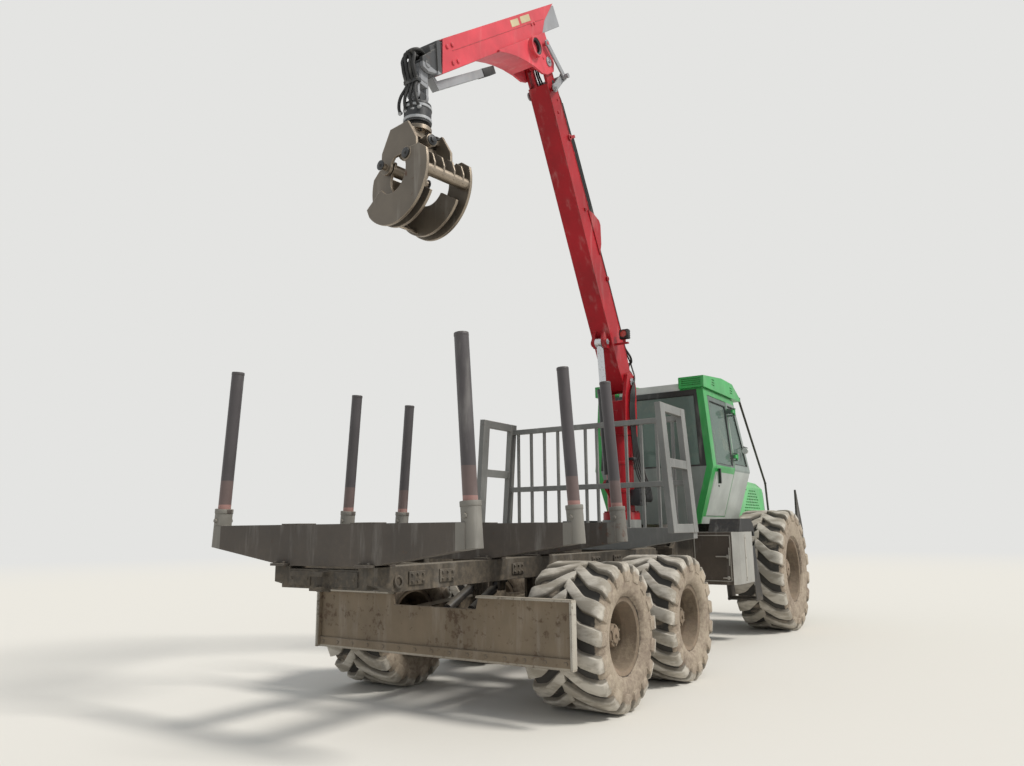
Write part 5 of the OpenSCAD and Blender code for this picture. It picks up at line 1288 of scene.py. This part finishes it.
cabSetup = {
    "knee": 2.250, "kneeHalf": 0.870, "topHalf": 0.785, "top": 3.300,
    "sill": 2.280, "front": 5.050, "brow": 4.680, "sunk": 0.012,
    "seal": 0.009, "doorSeal": 0.0081,
    "sidePane": ((4.364, 2.324), (4.956, 2.324), (4.628, 3.186), (4.364, 3.186)),
    "doorPane": ((3.554, 2.294), (4.236, 2.294), (4.236, 3.156), (3.554, 3.156)),
    "rearX": 3.352, "rearPane": ((-0.696, 2.264), (0.696, 2.264), (0.657, 3.226), (-0.657, 3.226)),
    "frontPane": ((-0.746, 2.334), (0.746, 2.334), (0.687, 3.226), (-0.687, 3.226)),
    # wipers: two ends as distance from the glass, y and z, radius, sides, rounding
    "wipers": (((0.012, 0.12, 2.290), (0.03618, 0.12, 2.296), 0.014, 16, 0.002),
               ((0.03018, 0.12, 2.296), (0.022, 0.33, 2.740), 0.005, 8, 0.0),
               ((0.013, 0.22, 2.420), (0.013, 0.46, 3.000), 0.006, 8, 0.0)),
    "lock": ((3.585, 0.850, 1.990), (3.585, 0.860, 1.990), 0.014),
}


def sideAt(s, z):
    # the cab's outer face at a height over its widest line
    return s["kneeHalf"] - (s["kneeHalf"] - s["topHalf"]) * (z - s["knee"]) / (s["top"] - s["knee"])


def frontAt(s, z):
    return s["front"] - (z - s["sill"]) * (s["front"] - s["brow"]) / (s["top"] - s["sill"])


def seal(shape, corners, radius):
    # rubber bead round a pane
    for a, b in zip(corners, corners[1:] + corners[:1]):
        shape.rod(a, b, radius, sides=10)
        shape.ball(a, radius)


def addCabDetails(s):
    shape = Shape("window_seals")
    for _ in shape.both():
        seal(shape, [(x, sideAt(s, z) - s["sunk"], z) for x, z in s["sidePane"]], s["seal"])
        for (near, y0, z0), (far, y1, z1), radius, count, soft in s["wipers"]:
            start, end = (frontAt(s, z0) + near, y0, z0), (frontAt(s, z1) + far, y1, z1)
            shape.rod(start, end, radius, sides=count, soft=soft)
    seal(shape, [(s["rearX"], y, z) for y, z in s["rearPane"]], s["seal"])
    seal(shape, [(frontAt(s, z) - s["sunk"], y, z) for y, z in s["frontPane"]], s["seal"])
    shape.finish("front", "black_plastic")
    for side, sideName in bothSides:
        # the door's seal and the lock barrel under the handle
        shape = Shape("door_trim_" + sideName, side=side)
        seal(shape, [(x, sideAt(s, z) - s["sunk"], z) for x, z in s["doorPane"]], s["doorSeal"])
        shape.rod(*s["lock"], sides=18, soft=0.002)
        shape.finish("door_" + sideName, "black_plastic")


mirrorSetup = {
    "arm": ((4.905, 0.800, 2.640), (4.870, 0.905, 2.600), (4.780, 0.910, 2.565)), "armRadius": 0.009,
    "foot": ((4.880, 0.794, 2.615), (4.930, 0.818, 2.665)),
    "head": ((4.760, 0.905, 2.550), 0.046, (0.62, 1.0, 1.0)),
    "glass": ((0.001, 0.0), (0.040, 0.0), (0.046, 0.006), (0.042, 0.012), (0.001, 0.012)), "glassX": 4.742,
}


def addMirrors(s):
    arms, heads = Shape("mirror_arms"), Shape("mirrors")
    for _ in arms.both():
        for start, end in zip(s["arm"], s["arm"][1:]):
            arms.rod(start, end, s["armRadius"], sides=12)
        arms.block(*s["foot"])
    for _ in heads.both():
        heads.ball(*s["head"])
        heads.ring(s["glass"], (s["glassX"], *s["head"][0][1:]), (-1, 0, 0), 36)
    arms.finish("front", "black_plastic")
    heads.finish("front", "mirrorWhite")


lensSetup = {
    # each lamp's place, the glass's length and radius, the rim's radius, setback and depth
    "lamps": (((4.786, 0.130, 3.450), 0.007, 0.047, 0.055, 0.002, 0.008),
              ((4.786, 0.330, 3.450), 0.007, 0.047, 0.055, 0.002, 0.008),
              ((6.836, 0.820, 1.180), 0.007, 0.051, 0.060, 0.002, 0.007)),
}


def addLenses(s):
    lens, rims = Shape("lamp_lenses"), Shape("lamp_bezels")
    for (x, y, z), length, glass, rim, back, depth in s["lamps"]:
        for _ in lens.both():
            lens.rod((x, y, z), (x + length, y, z), glass, sides=32, soft=0.002)
        for _ in rims.both():
            rims.band(glass, rim, 0.0, depth, (x + back, y, z), (1, 0, 0), 36)
    lens.finish("front", "lampGlass")
    rims.finish("front", "black_plastic")


boxSetup = {
    # strips of the rear door's frame as y and z from and to, in this depth
    "frame": ((0.780, 1.235, 1.340, 1.352), (0.780, 1.235, 0.800, 0.812),
              (0.780, 0.792, 0.800, 1.352), (1.223, 1.235, 0.800, 1.352)), "frameX": (2.692, 2.701),
    "handles": ((1.094, 0.150), (0.842, 0.070)), "handleX": 2.684, "handleY": (1.200, 1.215),
    "keeper": ((2.682, 1.181, -0.022), (2.701, 1.209, 0.022)),
    "rod": ((2.684, 1.215, 0.985), (2.684, 1.215, 1.200), 0.007),
    "strap": ((3.060, 1.296, 0.790), (3.110, 1.304, 1.350)),
    "studs": (0.83, 1.07, 1.31), "stud": (3.085, 1.303, 1.309, 0.010),
    # treads: first and last x and z of the lowest step, what each step above changes
    "steps": 3, "step": (3.590, 3.880, 0.535), "stepUp": (-0.008, -0.090, 0.320),
    "pitch": 0.036, "tread": ((-0.005, 0.900, -0.001), (0.005, 1.225, 0.007)),
}


def addBoxDetails(s):
    shape = Shape("box_latches")
    (x0, x1), handleX, (inner, outer) = s["frameX"], s["handleX"], s["handleY"]
    for _ in shape.both():
        # the rear door's frame, its latches and the strap on the outer side
        for y0, y1, z0, z1 in s["frame"]:
            shape.block((x0, y0, z0), (x1, y1, z1), 0.002)
        for z, wide in s["handles"]:
            shape.rod((handleX, inner - wide, z), (handleX, outer, z), 0.008, sides=12, soft=0.002)
            shape.block(*s["keeper"], shift=(0, 0, z))
        shape.rod(*s["rod"], sides=12, soft=0.002)
        shape.block(*s["strap"], 0.002)
        x, low, high, radius = s["stud"]
        for z in s["studs"]:
            shape.rod((x, low, z), (x, high, z), radius, sides=16, soft=0.002)
    shape.finish("front", "latch_grey")
    tread = Shape("step_treads")
    for _ in tread.both():
        for k in range(s["steps"]):
            first, last, z = Vector(s["step"]) + k * Vector(s["stepUp"])
            for i in range(int((last - first) / s["pitch"])):
                tread.block(*s["tread"], 0.002, shift=(first + (i + 0.5) * s["pitch"], 0, z))
    tread.finish("front", "box_paint")


hoodSetup = {
    "latch": ((5.545, 0.612, 2.030), (5.590, 0.640, 2.075)),
    "lever": ((5.568, 0.628, 2.058), (5.568, 0.646, 2.010), 0.009),
    "handleFeet": ((6.630, 0.09, 2.010), (6.672, 0.09, 2.022), 0.008),
    "handle": ((6.670, -0.094, 2.022), (6.670, 0.094, 2.022), 0.009),
    # the slanted upper corner from the cab to the nose
    "lowSide": 0.620, "lowZ": 2.060, "topSide": 0.490, "topZ": 2.210, "under": 0.0006, "thick": 0.006,
    "outline": ((5.164, 2.086), (5.164, 2.1735), (6.478, 2.1140), (6.498, 2.0905), (6.498, 2.086)),
}


def addHoodDetails(s):
    shape = Shape("hood_latches")
    for _ in shape.both():
        shape.block(*s["latch"], 0.005)
        shape.rod(*s["lever"], sides=14, soft=0.003)
        shape.rod(*s["handleFeet"], sides=12)
    shape.rod(*s["handle"], sides=14, soft=0.003)
    shape.finish("hood", "black_plastic")
    # strips that close the hood's upper corners
    strips = Shape("hood_corner_strips")
    rise = (s["topSide"] - s["lowSide"]) / (s["topZ"] - s["lowZ"])
    for _ in strips.both():
        out = strips.flip((0, 1, -rise)).normalized()
        spots = [strips.flip((x, s["lowSide"] + (z - s["lowZ"]) * rise, z)) for x, z in s["outline"]]
        verts = [strips.bm.verts.new(strips.place @ (spot - out * s["under"])) for spot in spots]
        grown = bmesh.ops.extrude_face_region(strips.bm, geom=[strips.bm.faces.new(verts)])["geom"]
        moved = [g for g in grown if isinstance(g, bmesh.types.BMVert)]
        bmesh.ops.translate(strips.bm, vec=out * -s["thick"], verts=moved)
    strips.finish("hood", "hood_green")


consoleSetup = {
    "y": 0.340, "bootX": 3.850, "bootZ": 2.240, "boots": 4, "bootStep": 0.011, "bootShrink": 0.003,
    "knob": (2.392, 0.026, (1, 1, 1.25)),
    "buttonX": (3.960, 4.000, 4.040), "buttonY": (-0.020, 0.020), "button": (2.239, 2.248, 0.010),
    "dash": ((4.700, -0.140, 2.148), (4.840, 0.140, 2.175)),
}


def addConsoles(s):
    # lever boots, a round knob and buttons on each armrest, and the instrument block
    shape = Shape("console_details")
    knobZ, knob, squash = s["knob"]
    low, high, button = s["button"]
    for _ in shape.both():
        for k in range(s["boots"]):
            less = k * s["bootShrink"]
            shape.ring([(0.014, 0.0), (0.030 - less, 0.0), (0.026 - less, 0.010), (0.014, 0.010)],
                       (s["bootX"], s["y"], s["bootZ"] + k * s["bootStep"]), (0, 0, 1))
        shape.ball((s["bootX"], s["y"], knobZ), knob, squash)
        for x in s["buttonX"]:
            for dy in s["buttonY"]:
                y = s["y"] + dy
                shape.rod((x, y, low), (x, y, high), button, sides=14, soft=0.002)
    shape.block(*s["dash"], 0.006)
    shape.finish("front", "black_plastic")


seatSetup = {
    # each pad's corners and its fill, which is not used
    "seat_cushion": ((3.912, -0.238, 1.996), (4.290, 0.238, 2.098), 0.7),
    "seat_backrest": ((4.312, -0.228, 2.122), (4.408, 0.228, 2.786), 0.65),
    "corner": 0.034, "voxel": 0.010,
    "pressure": 4.0, "frames": 20, "swell": 0.014,
    "seams": (-0.135, 0.135), "seamDepth": 0.007, "seamWidth": 0.014,
    "post": ((4.150, 0, 1.546), (4.150, 0, 1.700), 0.108),
    "bellows": ((0.060, 0.0), (0.090, 0.0), (0.104, 0.022), (0.090, 0.044), (0.060, 0.044)),
    "folds": 5, "foldZ": 1.705, "foldPitch": 0.050,
    "shells": (((3.935, -0.215, 1.962), (4.360, 0.215, 1.992), 0.008),
               ((4.395, -0.200, 2.000), (4.416, 0.200, 2.700), 0.008),
               ((4.300, -0.060, 1.975), (4.416, 0.060, 2.030), 0.006)),
}


def baked(piece):
    # the piece's mesh with its modifiers applied
    graph = bpy.context.evaluated_depsgraph_get()
    return bpy.data.meshes.new_from_object(piece.evaluated_get(graph))


def blowUp(pad, s):
    # cloth under pressure, kept within a small distance of where it began
    rest = [v.co.copy() for v in pad.data.vertices]
    cloth = pad.modifiers.new("Cloth", "CLOTH")
    cloth.settings.use_pressure = True
    cloth.settings.uniform_pressure_force = s["pressure"]
    cloth.settings.effector_weights.gravity = 0
    for step in range(1, s["frames"] + 1):
        bpy.context.scene.frame_set(step)
    blown = baked(pad)
    pad.modifiers.clear()
    for v, old in zip(blown.vertices, rest):
        move = v.co - old
        if move.length > s["swell"]:
            v.co = old + move.normalized() * s["swell"]
    pad.data = blown
    bpy.context.scene.frame_set(1)


def addCushion(name, low, high, fill, s):
    # rounded pad, blown up a little as cloth, then sewn in along two seams
    low, high = (Vector(corner) + machinePlace.translation for corner in (low, high))
    shape = Shape(name, Matrix())
    shape.block(low, high, 0.0)
    shape.bevel(shape.bm.edges, s["corner"], 4)
    mesh = bpy.data.meshes.new(name)
    shape.bm.to_mesh(mesh)
    shape.bm.free()
    pad = bpy.data.objects.new(name, mesh)
    bpy.context.scene.collection.objects.link(pad)
    remesh = pad.modifiers.new("Remesh", "REMESH")
    remesh.mode = "VOXEL"
    remesh.voxel_size = s["voxel"]
    pad.data = baked(pad)
    pad.modifiers.clear()
    blowUp(pad, s)
    middle = (low + high) / 2
    thin = 2 if high.z - low.z < high.x - low.x else 0
    for v in pad.data.vertices:
        for line in s["seams"]:
            dip = s["seamDepth"] * math.exp(-((v.co.y - line) / s["seamWidth"]) ** 2)
            v.co[thin] -= math.copysign(dip, v.co[thin] - middle[thin])
    smooth = pad.modifiers.new("Subdivision", "SUBSURF")
    smooth.levels = 1
    full = baked(pad)
    bpy.data.objects.remove(pad)
    settle(full, name, "front", "seat_fabric")


def addSeat(s):
    for name in ("seat_cushion", "seat_backrest"):
        addCushion(name, *s[name], s)
    shell = Shape("seat_frame")
    start, end, radius = s["post"]
    shell.rod(start, end, radius, sides=40, soft=0.006)
    # rubber bellows round the seat's post
    for k in range(s["folds"]):
        shell.ring(s["bellows"], (*start[:2], s["foldZ"] + k * s["foldPitch"]), (0, 0, 1), 40)
    for part in s["shells"]:
        shell.block(*part)
    shell.finish("front", "black_plastic", 34, ("seat",))


addCabDetails(cabSetup)
addMirrors(mirrorSetup)
addLenses(lensSetup)
addBoxDetails(boxSetup)
addHoodDetails(hoodSetup)
addConsoles(consoleSetup)
addSeat(seatSetup)
print("cab and hood dressed")
